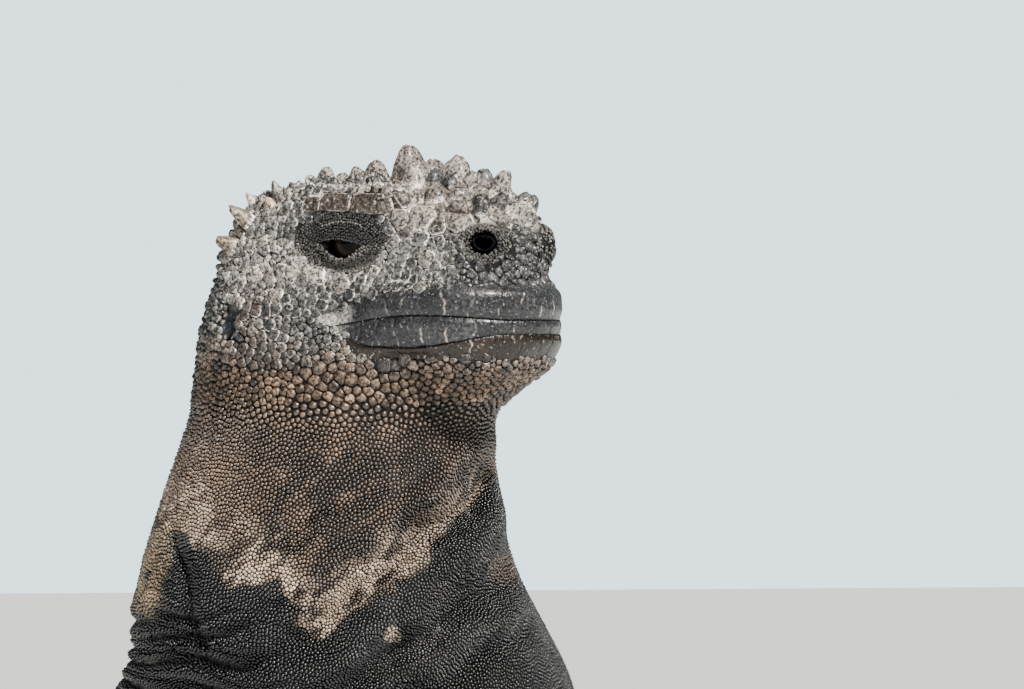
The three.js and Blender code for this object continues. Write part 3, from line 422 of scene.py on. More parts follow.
def smooth_max(a, b, blend):
    """The greater of two distances, rounded where they differ by less than blend."""
    return -smooth_min(-a, -b, blend)


def smooth_step(value, low, high):
    """0 up to low, 1 from high, and 3t^2 - 2t^3 between."""
    share = np.clip((value - low) / (high - low), 0.0, 1.0)
    return share * share * (3 - 2 * share)


def zone(value, low, full, fading, gone):
    """0 up to low, 1 from full to fading, and 0 again from gone."""
    return smooth_step(value, low, full) * (1 - smooth_step(value, fading, gone))


def unit(vectors):
    """Vectors at length 1."""
    return vectors / np.maximum(np.linalg.norm(vectors, axis=-1, keepdims=True), TINY)


def along_surface(way, outward):
    """A way with its outward part taken off, at length 1."""
    return unit(way - (way * outward).sum(1)[:, None] * outward)


def filled_mesh(name, vertices, quads, triangles):
    """A mesh from arrays of places and of the corners of its quads and triangles."""
    sizes = np.concatenate([np.full(len(quads), 4), np.full(len(triangles), 3)])
    corners = np.concatenate([quads.ravel(), triangles.ravel()])
    mesh = bpy.data.meshes.new(name)
    mesh.vertices.add(len(vertices))
    mesh.vertices.foreach_set("co", vertices.astype(np.float32).ravel())
    mesh.loops.add(len(corners))
    mesh.loops.foreach_set("vertex_index", corners.astype(np.int32))
    mesh.polygons.add(len(sizes))
    mesh.polygons.foreach_set("loop_start", (np.cumsum(sizes) - sizes).astype(np.int32))
    mesh.update(calc_edges=True)
    return mesh


def smooth_line(stations, count):
    """Rows of values at even steps along a line of stations.

    A cubic Hermite curve passes through the stations. Its parameter is the chord length, and its
    slope at a station is the difference of its neighbours over the distance between them.
    """
    stations = np.asarray(stations, float)
    chords = np.linalg.norm(np.diff(stations[:, :3], axis=0), axis=1)
    places = np.concatenate([[0.0], np.cumsum(chords)])
    slopes = np.empty_like(stations)
    slopes[1:-1] = (stations[2:] - stations[:-2]) / (places[2:] - places[:-2])[:, None]
    slopes[0] = (stations[1] - stations[0]) / chords[0]
    slopes[-1] = (stations[-1] - stations[-2]) / chords[-1]
    along = np.linspace(0.0, places[-1], count)
    low = np.clip(np.searchsorted(places, along, side="right") - 1, 0, len(stations) - 2)
    high, span = low + 1, chords[low][:, None]
    t = (along[:, None] - places[low][:, None]) / span
    squared, cubed = t * t, t * t * t
    values = (2 * cubed - 3 * squared + 1) * stations[low] + (3 * squared - 2 * cubed) * stations[high]
    values += (cubed - 2 * squared + t) * span * slopes[low] + (cubed - squared) * span * slopes[high]
    return along, values


def line_frames(stations, count):
    """Centres, directions and half sizes at even steps along a line of stations.

    With seven columns, left stays level at the station's heading and forward gives way.
    Otherwise left starts level and is carried from ring to ring without a twist.
    """
    along, values = smooth_line(stations, count)
    centre = values[:, :3]
    forward = unit(np.gradient(centre, axis=0))
    if values.shape[1] == 7:
        heading = np.radians(values[:, 6])
        left = np.stack([-np.sin(heading), np.cos(heading), 0 * heading], axis=1)
        forward = along_surface(forward, left)
        sizes = values[:, 3:6]
    else:
        left = np.empty_like(forward)
        last = np.cross(UP, forward[0])
        for ring in range(count):
            last = unit(last - (last @ forward[ring]) * forward[ring])
            left[ring] = last
        sizes = values[:, [3, 4, 4]]
    return dict(along=along, centre=centre, forward=forward, left=left,
                over=np.cross(forward, left), sizes=sizes)


def ahead_of(points, ring, centre, forward):
    """How far each point lies ahead of a ring's plane and of the next one's."""
    before = ((points - centre[ring]) * forward[ring]).sum(1)
    return before, ((points - centre[ring + 1]) * forward[ring + 1]).sum(1)


def tube_distance(points, frames, round_ends):
    """Distance to a tube of oval sections, and the place along it and turn round it.

    The place is found between the two rings whose planes the point lies between, stepping there
    from the nearest ring. There an offset (sideways, upward) is held against the section's
    half sizes (w, h): k (k - 1) / s, with k = |offset / size| and s = |offset / size^2|.
    """
    centre, forward = frames["centre"], frames["forward"]
    last = len(centre) - 2
    stride = centre[::NEAR_STRIDE]
    found = np.empty((3, len(points)))
    for start in range(0, len(points), CHUNK):
        p = points[start:start + CHUNK]
        nearest = ((stride * stride).sum(1) - 2 * p @ stride.T).argmin(1) * NEAR_STRIDE
        low = np.clip(nearest, 0, last)
        before, after = ahead_of(p, low, centre, forward)
        for _ in range(SEARCH_STEPS):
            step = ((after > 0) & (low < last)).astype(int) - ((before < 0) & (low > 0))
            moving = np.flatnonzero(step)
            if not len(moving):
                break
            low[moving] += step[moving]
            before[moving], after[moving] = ahead_of(p[moving], low[moving], centre, forward)
        share = np.clip(before / np.maximum(before - after, TINY), 0.0, 1.0)[:, None]
        middle, left, over, sizes = (
            frames[key][low] * (1 - share) + frames[key][low + 1] * share
            for key in ("centre", "left", "over", "sizes"))
        sideways, upward = ((p - middle) * left).sum(1), ((p - middle) * over).sum(1)
        width, high = sizes[:, 0], np.where(upward > 0, sizes[:, 1], sizes[:, 2])
        level = np.hypot(sideways / width, upward / high)
        steep = np.hypot(sideways / width ** 2, upward / high ** 2)
        wall = level * (level - 1) / np.maximum(steep, TINY)
        past, short = np.where(low == last, after, -FAR_AWAY), np.where(low == 0, -before, -FAR_AWAY)
        beyond = np.maximum(past, short)
        ended = smooth_max(wall, beyond, round_ends)
        found[:, start:start + CHUNK] = [
            np.where(beyond > -2 * round_ends, ended, wall),
            (low + share[:, 0]) / (last + 1),
            np.arctan2(upward, sideways),
        ]
    return found


def ellipsoid_distance(h, form):
    """Distance to an ellipsoid whose power above 2 squares it off: (k - 1) / |slope of k|."""
    radii, power = np.array(form["radii"], float), form["power"]
    q = np.abs(h - form["centre"]) / radii
    level = (q ** power).sum(1) ** (1 / power)
    slope = (q / (level[:, None] + TINY)) ** (power - 1) / radii
    return (level - 1) / np.maximum(np.linalg.norm(slope, axis=1), TINY)


def lip_distance(h, form):
    """Distance to a rounded slab with an elliptic plan, which follows the jaw."""
    radii = np.array(form["radii"]) - LIP_ROUNDING
    plan = np.stack([h[:, 0] - form["forward"], h[:, 1]], axis=1)
    level = np.linalg.norm(plan / radii, axis=1)
    steep = np.linalg.norm(plan / radii ** 2, axis=1)
    inward = level * (level - 1) / np.maximum(steep, TINY)
    upward = np.abs(h[:, 2] - form["up"]) - (form["half"] - LIP_ROUNDING)
    outside = np.hypot(np.maximum(inward, 0), np.maximum(upward, 0))
    return outside + np.minimum(np.maximum(inward, upward), 0) - LIP_ROUNDING


def ridge_distance(h, form):
    """Distance to a rounded bar between two points, its radius changing evenly."""
    start, line = np.array(form["start"], float), np.subtract(form["end"], form["start"])
    share = np.clip((h - start) @ line / (line @ line), 0, 1)
    radius = form["radii"][0] + (form["radii"][1] - form["radii"][0]) * share
    return np.linalg.norm(h - start - share[:, None] * line, axis=1) - radius


def head_distance(h):
    """The head's smooth form, from half-head points whose second value is never negative."""
    distance = ellipsoid_distance(h, CRANIUM)
    for measure, form in (
        (ellipsoid_distance, JAW_MUSCLE), (ellipsoid_distance, SNOUT), (ellipsoid_distance, LOWER_JAW),
        (lip_distance, UPPER_LIP), (lip_distance, LOWER_LIP), (ellipsoid_distance, THROAT),
    ):
        distance = smooth_min(distance, measure(h, form), form["blend"])
    distance = smooth_max(distance, -ellipsoid_distance(h, ORBIT), ORBIT["blend"])
    for measure, form in (
        (ridge_distance, BROW), (ellipsoid_distance, NOSTRIL_MOUND), (ellipsoid_distance, NOSTRIL_RIM),
    ):
        distance = smooth_min(distance, measure(h, form), form["blend"])
    return distance


def nostril_axes():
    """Directions along the nostril, across it and up it, in the head's frame."""
    aim = NOSTRIL_AIM / np.linalg.norm(NOSTRIL_AIM)
    across = unit(np.cross(UP, aim))
    return np.stack([aim, across, np.cross(aim, across)])


def in_nostril(h, half):
    """How far half-head points lie along the nostril's aim, and how many half widths off it."""
    inside = (h - NOSTRIL_CENTRE) @ nostril_axes().T
    return inside[:, 0], np.hypot(inside[:, 1] / half[0], inside[:, 2] / half[1])


def in_orbit(h):
    """How many half sizes of the lids' patch half-head points lie from its middle."""
    return np.hypot((h[:, 0] - LID_CENTRE[0]) / LID_PATCH[0], (h[:, 2] - LID_CENTRE[2]) / LID_PATCH[1])


def eye_middle(side):
    """The middle of an eye's ball in the head's frame."""
    return EYE_CENTRE * [1, side, 1] + [0, 0, EYE_RAISED]


def carved_features(h, distance):
    """The head with its eye sockets, nostrils and ear hollows taken out."""
    socket = np.linalg.norm(h - eye_middle(1), axis=1) - SOCKET_RADIUS
    distance = smooth_max(distance, -socket, 0.5)
    hole = dict(centre=[0, 0, 0], radii=NOSTRIL_PIT, power=2)
    inside = (h - NOSTRIL_CENTRE) @ nostril_axes().T
    distance = smooth_max(distance, -ellipsoid_distance(inside, hole), 0.7)
    ear = dict(centre=EAR_CENTRE, radii=EAR_RADII, power=2)
    return smooth_max(distance, -ellipsoid_distance(h, ear), 1.0)


HEAD_TURN = np.array([
    [math.cos(HEAD_HEADING), math.sin(HEAD_HEADING), 0],
    [-math.sin(HEAD_HEADING), math.cos(HEAD_HEADING), 0],
    [0, 0, 1],
])


def to_head(points):
    """Body points in the head's frame."""
    return (points - HEAD_ORIGIN) @ HEAD_TURN.T


def from_head(points):
    """Head points in the body's frame."""
    return np.asarray(points, float) @ HEAD_TURN + HEAD_ORIGIN


def half_head(points):
    """Body points in the head's frame, both halves folded onto one."""
    h = to_head(points)
    h[:, 1] = np.abs(h[:, 1])
    return h


def tail_headings():
    """The spine's stations with the tail's headings filled in from its own line."""
    rows = []
    for index, station in enumerate(SPINE):
        row = list(station)
        if len(row) == 6:
            before, after = SPINE[max(index - 1, 0)], SPINE[index + 1]
            row.append(math.degrees(math.atan2(after[1] - before[1], after[0] - before[0])))
        rows.append(row)
    return rows


SPINE_FRAMES = line_frames(tail_headings(), SPINE_RINGS)
SPINE_LENGTH = SPINE_FRAMES["along"][-1]
HEAD_MIDDLE = from_head([[20, 0, 2]])[0]


def foot_lines(foot):
    """The lines of stations of a foot's sole and toes, and of its claws."""
    kind = FOOT_KINDS[foot["kind"]]
    heading = math.radians(foot["heading"])
    ahead = np.array([math.cos(heading), math.sin(heading)])
    aside = np.array([-math.sin(heading), math.cos(heading)])
    heel, rest = np.array(foot["heel"], float), kind["half_height"] - PRESS
    sole = [
        [*(heel + ahead * (share * kind["sole"] + more)), rest * height,
         kind["half_width"] * width, kind["half_height"] * depth]
        for share, more, height, width, depth in SOLE_SHAPE
    ]
    toes, claws = [], []
    half, tip = kind["toe_half"], kind["tip_half"]
    floor = tip - PRESS
    for index, (long, turn) in enumerate(kind["toes"]):
        angle = heading + math.radians(foot["side"] * turn)
        way = np.array([math.cos(angle), math.sin(angle)])
        spread = index / (len(kind["toes"]) - 1) * 2 - 1
        knuckle = aside * (foot["side"] * spread * kind["half_width"] * KNUCKLE_SPREAD)
        root = heel + ahead * kind["sole"] + knuckle
        toes.append([
            [*(root - way * TOE_ROOT_SUNK), half, half * 0.9, half * 0.9],
            [*root, half + TOE_ROOT_ARCH, half, half],
            [*(root + way * long * 0.42), half + TOE_ARCH, half * 0.95, half * 0.95],
            [*(root + way * long * 0.8), tip + PRESS, tip, tip],
            [*(root + way * long), floor, tip, tip],
        ])
        end = root + way * (long + CLAW_GAP)
        claws.append([
            [*end, floor, CLAW_HALF * CLAW_NARROW, CLAW_HALF],
            [*(end + way * 2.6), floor + 0.1, CLAW_HALF * 0.6, CLAW_HALF * 0.85],
            [*(end + way * 5.2), floor - 0.65, CLAW_HALF * 0.38, CLAW_HALF * 0.5],
            [*(end + way * CLAW_LONG), 0.5, 0.22, 0.22],
        ])
    return sole, toes, claws


def body_parts():
    """Frames of each limb length, sole and toe: {limb: (lengths, foot lines)}."""
    parts = {}
    for name, lengths in LIMBS.items():
        sole, toes, _ = foot_lines(FEET[name])
        parts[name] = (
            [line_frames(stations, LIMB_RINGS) for stations in lengths],
            [line_frames(stations, TOE_RINGS) for stations in [sole, *toes]],
        )
    return parts


BODY_PARTS = body_parts()


def near_line(points, lines, margin):
    """Which points lie in a box round some lines of frames."""
    centres = np.concatenate([line["centre"] for line in lines])
    low, high = centres.min(0) - margin, centres.max(0) + margin
    return ((points > low) & (points < high)).all(1)


def limb_distance(points, name):
    """Distance to a limb with its foot, far away where no part of it is near."""
    lengths, foot = BODY_PARTS[name]
    distance = np.full(len(points), FAR_AWAY)
    for lines, margin, blend in ((lengths, 40, KNEE_BLEND), (foot, 16, FOOT_BLEND)):
        near = near_line(points, lines, margin)
        if near.any():
            own = FAR_AWAY
            for line in lines:
                own = smooth_min(own, tube_distance(points[near], line, 1.0)[0], blend)
            distance[near] = smooth_min(distance[near], own, KNEE_BLEND)
    return distance


def round_share(angle):
    """An angle as a share of a full turn."""
    return angle / (2 * np.pi) % 1.0


def fold_depth(points, place):
    """How deep the folds of throat and shoulder run, on the side of the neck that faces out.

    Each fold is a groove exp(-(d / w)^2) along a line in the plane across and up, with a low
    bulge beside it, and fades out at the line's ends and round the side.
    """
    folded = np.flatnonzero((points[:, 2] > FOLD_ZONE[0]) & (points[:, 2] < FOLD_ZONE[1]))
    whole = np.zeros(len(points))
    if not len(folded):
        return whole
    points = points[folded]
    ring = np.clip(np.rint(place[folded] * (SPINE_RINGS - 1)).astype(int), 0, SPINE_RINGS - 1)
    out = (points - SPINE_FRAMES["centre"][ring]) @ TOWARD
    x, z = points @ ACROSS, points[:, 2]
    wave = 0.9 * np.sin(x * 0.31 + z * 0.17) + 0.6 * np.sin(x * 0.13 - z * 0.37 + 1.7)
    depth = np.zeros(len(points))
    for x0, z0, x1, z1, deep, wide in NECK_FOLDS:
        long = math.hypot(x1 - x0, z1 - z0)
        along = ((x - x0) * (x1 - x0) + (z - z0) * (z1 - z0)) / long
        apart = ((z - z0) * (x1 - x0) - (x - x0) * (z1 - z0)) / long + wave
        bulge = FOLD_BULGE * np.exp(-((apart - 2.1 * wide) / (1.4 * wide)) ** 2)
        depth += deep * zone(along, -4, 8, long - 8, long + 5) * (np.exp(-(apart / wide) ** 2) - bulge)
    patch = np.exp(-((x + 32) / 17) ** 2 - ((z - 118) / 9) ** 2)
    creases = 0.5 + 0.5 * np.sin(2 * np.pi * (z + 0.16 * x + 0.8 * wave) / 2.7)
    whole[folded] = (depth + WRINKLE_DEPTH * patch * creases ** 2) * smooth_step(out, -6, 12)
    return whole


def skin_distance(points, hollows=True):
    """Signed distance to the skin, near it, in millimetres: negative inside."""
    distance, place, _ = tube_distance(points, SPINE_FRAMES, 2.0)
    distance += fold_depth(points, place)
    high = np.flatnonzero(points[:, 2] > HEAD_FIELD_FROM)
    if len(high):
        h = half_head(points[high])
        whole = smooth_min(head_distance(h), distance[high], NECK_BLEND)
        distance[high] = carved_features(h, whole) if hollows else whole
    for name in LIMBS:
        distance = smooth_min(distance, limb_distance(points, name), LIMB_BLEND)
    return smooth_max(distance + SKIN_DEPTH, FLOOR_CLEAR - points[:, 2], 0.8)


def rise_of(distance, points):
    """A distance at points and its rise along each axis, by steps of a quarter millimetre."""
    here = distance(points)
    steps = 0.25 * np.eye(3)
    return here, np.stack([(distance(points + step) - here) / 0.25 for step in steps], axis=1)


def outward_at(points, distance=skin_distance):
    """The way out of a surface at points on it."""
    return unit(rise_of(distance, points)[1])


def marched(points, way, distance, rounds=24):
    """Points moved against a way each until they meet a surface: p - d(p) way, over and over."""
    for _ in range(rounds):
        points = points - np.clip(distance(points), -1.5, 3.0)[:, None] * way
    return points


def turned_way(ways):
    """Directions of the head's frame in the body's frame."""
    return np.asarray(ways, float) @ HEAD_TURN


def onto_skin(points, rounds, most=3.0, hollows=True):
    """Points moved onto the skin by Newton steps, none longer than most."""
    for _ in range(rounds):
        here, rise = rise_of(lambda places: skin_distance(places, hollows), points)
        steep = np.maximum((rise * rise).sum(1), 0.2)
        points = points - np.clip(here / steep, -most, most)[:, None] * rise
    return points


def pressed_in(points):
    """Points near a nostril or an eye moved in along its hollow, so that they settle inside it."""
    h = half_head(points)
    along, near = in_nostril(h, NOSTRIL_PIT[1:])
    sink = PIT_DEPTH * (1 - smooth_step(near, 0.2, 1.0)) * (np.abs(along) < 7)
    h = h - sink[:, None] * nostril_axes()[0]
    away = np.hypot(*(h - eye_middle(1))[:, [0, 2]].T) / SOCKET_RADIUS
    h[:, 1] -= PIT_DEPTH * (1 - smooth_step(away, 0.3, 1.0)) * (h[:, 1] > 12)
    h[:, 1] *= np.where(to_head(points)[:, 1] < 0, -1.0, 1.0)
    return from_head(h)


# Meshes

MODEL_OFFSET = None


def model_offset():
    """Millimetres from the body's frame to the solids' frame, from where the left eye lies."""
    low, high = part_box("eye_left")
    eye = (np.array(low) + np.array(high)) / 2 / MILLIMETRE
    return eye - from_head(EYE_CENTRE[None])[0]


def new_piece(name, vertices, quads, triangles, material):
    """A smooth piece in metres in the solids' frame, clear of the floor and riding on the model."""
    raised = np.maximum(vertices, [-FAR_AWAY, -FAR_AWAY, FLOOR_GAP])
    mesh = filled_mesh(name, (raised + MODEL_OFFSET) * MILLIMETRE, quads, triangles)
    mesh.shade_smooth()
    mesh.materials.append(material)
    piece = bpy.data.objects.new(name, mesh)
    bpy.context.scene.collection.objects.link(piece)
    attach(piece, "root")
    return piece


def set_colour(piece, colour, salt):
    """The piece's colour and its share of salt specks, at each vertex."""
    mesh = piece.data
    tones = np.ones((len(mesh.vertices), 4), np.float32)
    tones[:, :3] = colour
    attribute = mesh.attributes.new("Tone", "FLOAT_COLOR", "POINT")
    attribute.data.foreach_set("color", tones.ravel())
    specks = mesh.attributes.new("Salt", "FLOAT", "POINT")
    specks.data.foreach_set("value", np.broadcast_to(salt, len(tones)).astype(np.float32))


def ring_faces(rings, sides):
    """Corners of the quads between rings of as many vertices each."""
    corner = np.arange(rings * sides).reshape(rings, sides)
    after = np.roll(corner, -1, axis=1)
    return np.stack([corner[:-1], after[:-1], after[1:], corner[1:]], axis=-1).reshape(-1, 4)


def set_bake_map(piece, places):
    """The piece's map of its surface, from a place at each vertex."""
    layer = piece.data.uv_layers.new(name="OFBake")
    corners = np.empty(len(piece.data.loops), np.int32)
    piece.data.loops.foreach_get("vertex_index", corners)
    layer.data.foreach_set("uv", places[corners].astype(np.float32).ravel())


def capped_tube(rings):
    """Vertices and faces of a tube (rings, columns, 3) closed by a fan at each end."""
    count, columns = rings.shape[:2]
    vertices = np.concatenate([rings.reshape(-1, 3), rings[[0, -1]].mean(1)])
    column = np.arange(columns)
    after = (column + 1) % columns
    middle = np.full(columns, count * columns)
    base = (count - 1) * columns
    start = np.stack([middle, after, column], axis=1)
    end = np.stack([middle + 1, base + column, base + after], axis=1)
    return vertices, ring_faces(count, columns), np.concatenate([start, end])


def head_tube(rings):
    """A capped tube of rings given in the head's frame."""
    return capped_tube(from_head(rings.reshape(-1, 3)).reshape(rings.shape))


def tube_rings(frames, columns):
    """Rings of a tube: centre + cos(a) w left + sin(a) h over, turned so its faces point out."""
    angle = np.linspace(0, 2 * np.pi, columns, endpoint=False)
    cosine, sine = np.cos(angle)[None, :, None], np.sin(angle)[None, :, None]
    wide, above, below = frames["sizes"].T[:, :, None, None]
    high = np.where(sine > 0, above, below)
    sides = cosine * wide * frames["left"][:, None] + sine * high * frames["over"][:, None]
    return frames["centre"][:, None] + sides


def joined_tubes(tubes):
    """One list of vertices and faces from several capped tubes."""
    starts = np.cumsum([0, *[len(points) for points, _, _ in tubes]])
    return (
        np.concatenate([points for points, _, _ in tubes]),
        np.concatenate([quads + start for (_, quads, _), start in zip(tubes, starts)]),
        np.concatenate([triangles + start for (_, _, triangles), start in zip(tubes, starts)]),
    )


def tube_piece(name, tubes, material):
    """A piece of several capped tubes, and its vertices in the body's frame."""
    vertices, quads, triangles = joined_tubes(tubes)
    return new_piece(name, vertices, quads, triangles, material), vertices


# Noise


def grain(points, size, seed):
    """Smooth noise from 0 to 1: a hashed value at each lattice corner, blended between them."""
    q = points / size + seed * 17.31
    base = np.floor(q).astype(np.int64)
    t = q - base
    t = t * t * (3 - 2 * t)
    total = 0
    for corner in range(8):
        step = np.array([corner & 1, corner >> 1 & 1, corner >> 2 & 1])
        x, y, z = np.moveaxis(base + step, -1, 0)
        mixed = x * 73856093 ^ y * 19349663 ^ z * 83492791 ^ seed * 2654435761
        mixed = (mixed ^ mixed >> 13) * 1274126177 & 0x7FFFFFFF
        mixed = (mixed ^ mixed >> 15) & 0xFFFF
        total = total + np.where(step, t, 1 - t).prod(-1) * mixed / 0xFFFF
    return total


def mix(a, b, share):
    """From a to b by a share at each point."""
    return a + (b - a) * np.asarray(share)[..., None]


def painted(colour, *layers):
    """A colour under layers laid on in turn, each a shade and its share at each point."""
    for shade, share in layers:
        colour = mix(colour, shade, share)
    return colour


# Markings


def markings(points, outward):
    """Colour of scales, colour between them, darkened there as painted shade in the gaps, and share of salt,
    at body points.
    """
    x, z = points @ ACROSS, points[:, 2]
    facing = smooth_step(outward @ TOWARD, -0.25, 0.35)
    fine, small, wide = grain(points, 1.6, 1), grain(points, 4.5, 2), grain(points, 28, 5)
    cosine, sine = math.cos(BLOTCH_LEAN), math.sin(BLOTCH_LEAN)
    sideways, inward, upward = (points @ np.stack([ACROSS, TOWARD, UP]).T).T
    slanted = np.stack([
        (sideways * cosine + upward * sine) / 2.2, inward / 1.5, upward * cosine - sideways * sine,
    ], axis=1)
    blotch = 0.55 * grain(slanted, 3.2, 3) + 0.45 * grain(slanted, 1.4, 4)
    back = mix(BLACK_HIDE, GREY_HIDE, smooth_step(small * 0.5 + wide * 0.6, 0.5, 0.95))
    border = np.interp(x, THROAT_BORDER[:, 0], THROAT_BORDER[:, 1])
    border = border + 4.6 * (grain(points, 3.2, 6) - 0.5) + 4.0 * (grain(points, 7.5, 7) - 0.5)
    over = z - border
    throat = smooth_step(over + 2.4 * (fine - 0.5), -0.9, 0.9) * facing
    pale_zone = zone(over, -0.5, 1.5, 4, 15) * (1 - 0.45 * smooth_step(x, 12, 30))
    tan = painted(
        mix(TAN_HIDE, BROWN_HIDE, smooth_step(small, 0.25, 0.75)),
        (DARK_BLOTCH, 0.8 * smooth_step(blotch + 0.07 * smooth_step(x, -14, 6), 0.38, 0.6)),
        (GREY_HIDE * 2.2, 0.75 * smooth_step(-x, 11, 22) * smooth_step(z, 156, 168)),
        (TAN_HIDE * 1.35, 0.55 * smooth_step(-x, 12, 20) * smooth_step(z, 132, 150)),
        (mix(PALE_THROAT, TAN_HIDE, 0.6 * smooth_step(small, 0.5, 0.8)),
         0.9 * pale_zone * smooth_step(0.64 - blotch, 0.0, 0.2)),
    )
    side = smooth_step(-x + 5 * (small - 0.5), 31, 36) * zone(z, 124, 130, 142, 148)
    colour = painted(
        back,
        (BROWN_HIDE, 0.5 * smooth_step(wide * 0.6 + fine * 0.4, 0.62, 0.85)),
        (tan, throat),
        (YELLOW_PATCH, 0.9 * side * facing * smooth_step(0.66 - blotch, 0.0, 0.2)),
    )
    for place, reach, shade in (((12.6, 123.2), 2.0, PALE_THROAT), ((35, 135.8), 4.2, BROWN_HIDE)):
        spot = np.hypot(x - place[0], z - place[1]) + 1.5 * (fine - 0.5)
        colour = mix(colour, shade, 0.8 * facing * (1 - smooth_step(spot, reach * 0.6, reach)))
    # The colour between scales is a darkened copy of the scales' own: painted shade in the gaps between them
    between = colour * 0.12
    salt = 0.10 * facing * throat
    high = np.flatnonzero(z > HEAD_LOOKS_FROM)
    if len(high):
        head, seam, specks, share = head_markings(points[high], small[high], fine[high])
        colour[high] = mix(colour[high], head, share)
        between[high] = mix(between[high], seam, share)
        salt[high] = salt[high] * (1 - share) + specks * share
    return colour, between, salt


def head_markings(points, small, fine):
    """Colour of the head's scales, of the seams between them, salt, and the head's share."""
    h = half_head(points)
    forward, aside, up = h.T
    far = smooth_step(to_head(points)[:, 1], -9, 3)
    rear = smooth_step(-forward, 0, 9) * smooth_step(up, 7, 14)
    cheek = smooth_step(13 - np.hypot(forward - 3, up - 4), 0, 6) * smooth_step(small, 0.5, 0.75)
    row = smooth_step(2.2 - np.abs(aside - 9.6), 0, 1) * smooth_step(up, 25, 26.5)
    row = row * (1 - smooth_step(forward, 27, 30))
    band = smooth_step(2.0 - np.abs(aside - 14), 0, 1) * smooth_step(up, 24.2, 25.4)
    plate = smooth_step(aside, 7, 10) * zone(up, 16, 18, 25.5, 27) * zone(forward, 26, 29, 48, 51)
    muzzle = smooth_step(forward, 44, 49) * smooth_step(18.5 - up, 0, 3) * smooth_step(up, 4, 6)
    temple = smooth_step(14 - np.hypot(forward - 2, up - 15), 0, 5)
    orbit = in_orbit(h)
    round_eye = (1 - smooth_step(orbit, 1.15, 1.6)) * smooth_step(aside, 10, 14)
    under = smooth_step(LID_CENTRE[2] - up, -3, 1)
    jaw = 1 - smooth_step(up + 5 * (small - 0.5), -13, -3 + 0.12 * (20 - forward))
    nape = smooth_step(-forward, 8, 16) * (1 - smooth_step(up, 8, 16))
    pale = smooth_step(forward, -10, 8) * smooth_step(up, 0, 7) * (1 - muzzle)
    mouth = (1 - smooth_step(np.abs(up + 0.2), 0.5, 1.6)) * smooth_step(forward, 18, 23)
    lips = smooth_step(forward, 20, 24) * smooth_step(6.0 - np.abs(up + 0.1), 0, 0.8)
    lids = (1 - smooth_step(orbit, 0.98, 1.08)) * smooth_step(aside, 12, 15)
    along, round_hole = in_nostril(h, NOSTRIL_HALF)
    ringed = (1 - smooth_step(round_hole, 2.4, 3.8)) * (np.abs(along) < 6)
    ear = 1 - smooth_step(np.hypot((forward + 1) / 2.5, up / 4.2), 0.9, 1.15)
    grey = mix(HEAD_GREY * 0.6, HEAD_SLATE * 0.55, smooth_step(0.5 * small + 0.5 * fine, 0.32, 0.64))
    horn = mix(HORN_TAN * 0.85, HEAD_SLATE * 0.9, smooth_step(0.35 * small + 0.65 * fine, 0.35, 0.62))
    beads = mix(TAN_HIDE * 0.9, BROWN_HIDE, smooth_step(small, 0.3, 0.7))
    colour = painted(
        mix(grey, horn, smooth_step(up, 19, 25) * (0.35 + 0.6 * far)),
        (HORN_YELLOW, 0.55 * rear * smooth_step(aside, 12, 18)),
        (TAN_HIDE * 0.9, 0.4 * cheek),
        (HEAD_SLATE * 0.45, 0.85 * row),
        (EDGE_PALE * 0.8, 0.5 * band),
        (BROW_SHADE * 1.6, 0.7 * plate),
        (HEAD_SLATE * 0.6, 0.9 * muzzle),
        (EDGE_PALE * 0.6, 0.3 * temple),
        (EDGE_PALE * 0.55, 0.3 * round_eye * under),
        (HEAD_SLATE * 0.5, 0.8 * round_eye * (1 - under)),
        (mix(beads, DARK_BLOTCH, 0.7 * smooth_step(grain(points, 5.0, 8), 0.62, 0.78)), jaw),
        (BLACK_HIDE * 1.5, 0.75 * nape),
        (HEAD_SLATE * 0.6, 0.7 * ringed),
    )
    seam = painted(
        HEAD_SLATE * 0.2,
        (EDGE_PALE, 0.9 * pale * smooth_step(grain(points, 3.4, 9), 0.3, 0.5)),
        (MORTAR * 0.7, 0.85 * smooth_step(up, 18, 23) * smooth_step(forward, 16, 26)),
        (HEAD_SLATE * 0.12, round_eye * (1 - under)),
        (BLACK_HIDE * 0.8, np.clip(jaw + nape, 0, 1)),
        (BLACK_HIDE * 0.35, mouth),
        (LIP_SLATE, lips * (1 - mouth)),
        (LID_BLACK, lids),
        (BLACK_HIDE * 0.5, ringed),
        # the skin inside the nostril hole is painted near black: painted shade in the hole
        (BLACK_HIDE * 0.2, (1 - smooth_step(round_hole, 0.88, 1.02)) * (along < 3)),
        (EAR_BLUE, ear * smooth_step(aside, 15, 19)),
    )
    specks = 0.25 + 0.6 * smooth_step(up, -12, -2) * smooth_step(forward, 14, 34)
    return colour, seam, specks * (1 - 0.8 * np.clip(jaw, 0, 1)), smooth_step(up, -30, -17)


# Scales


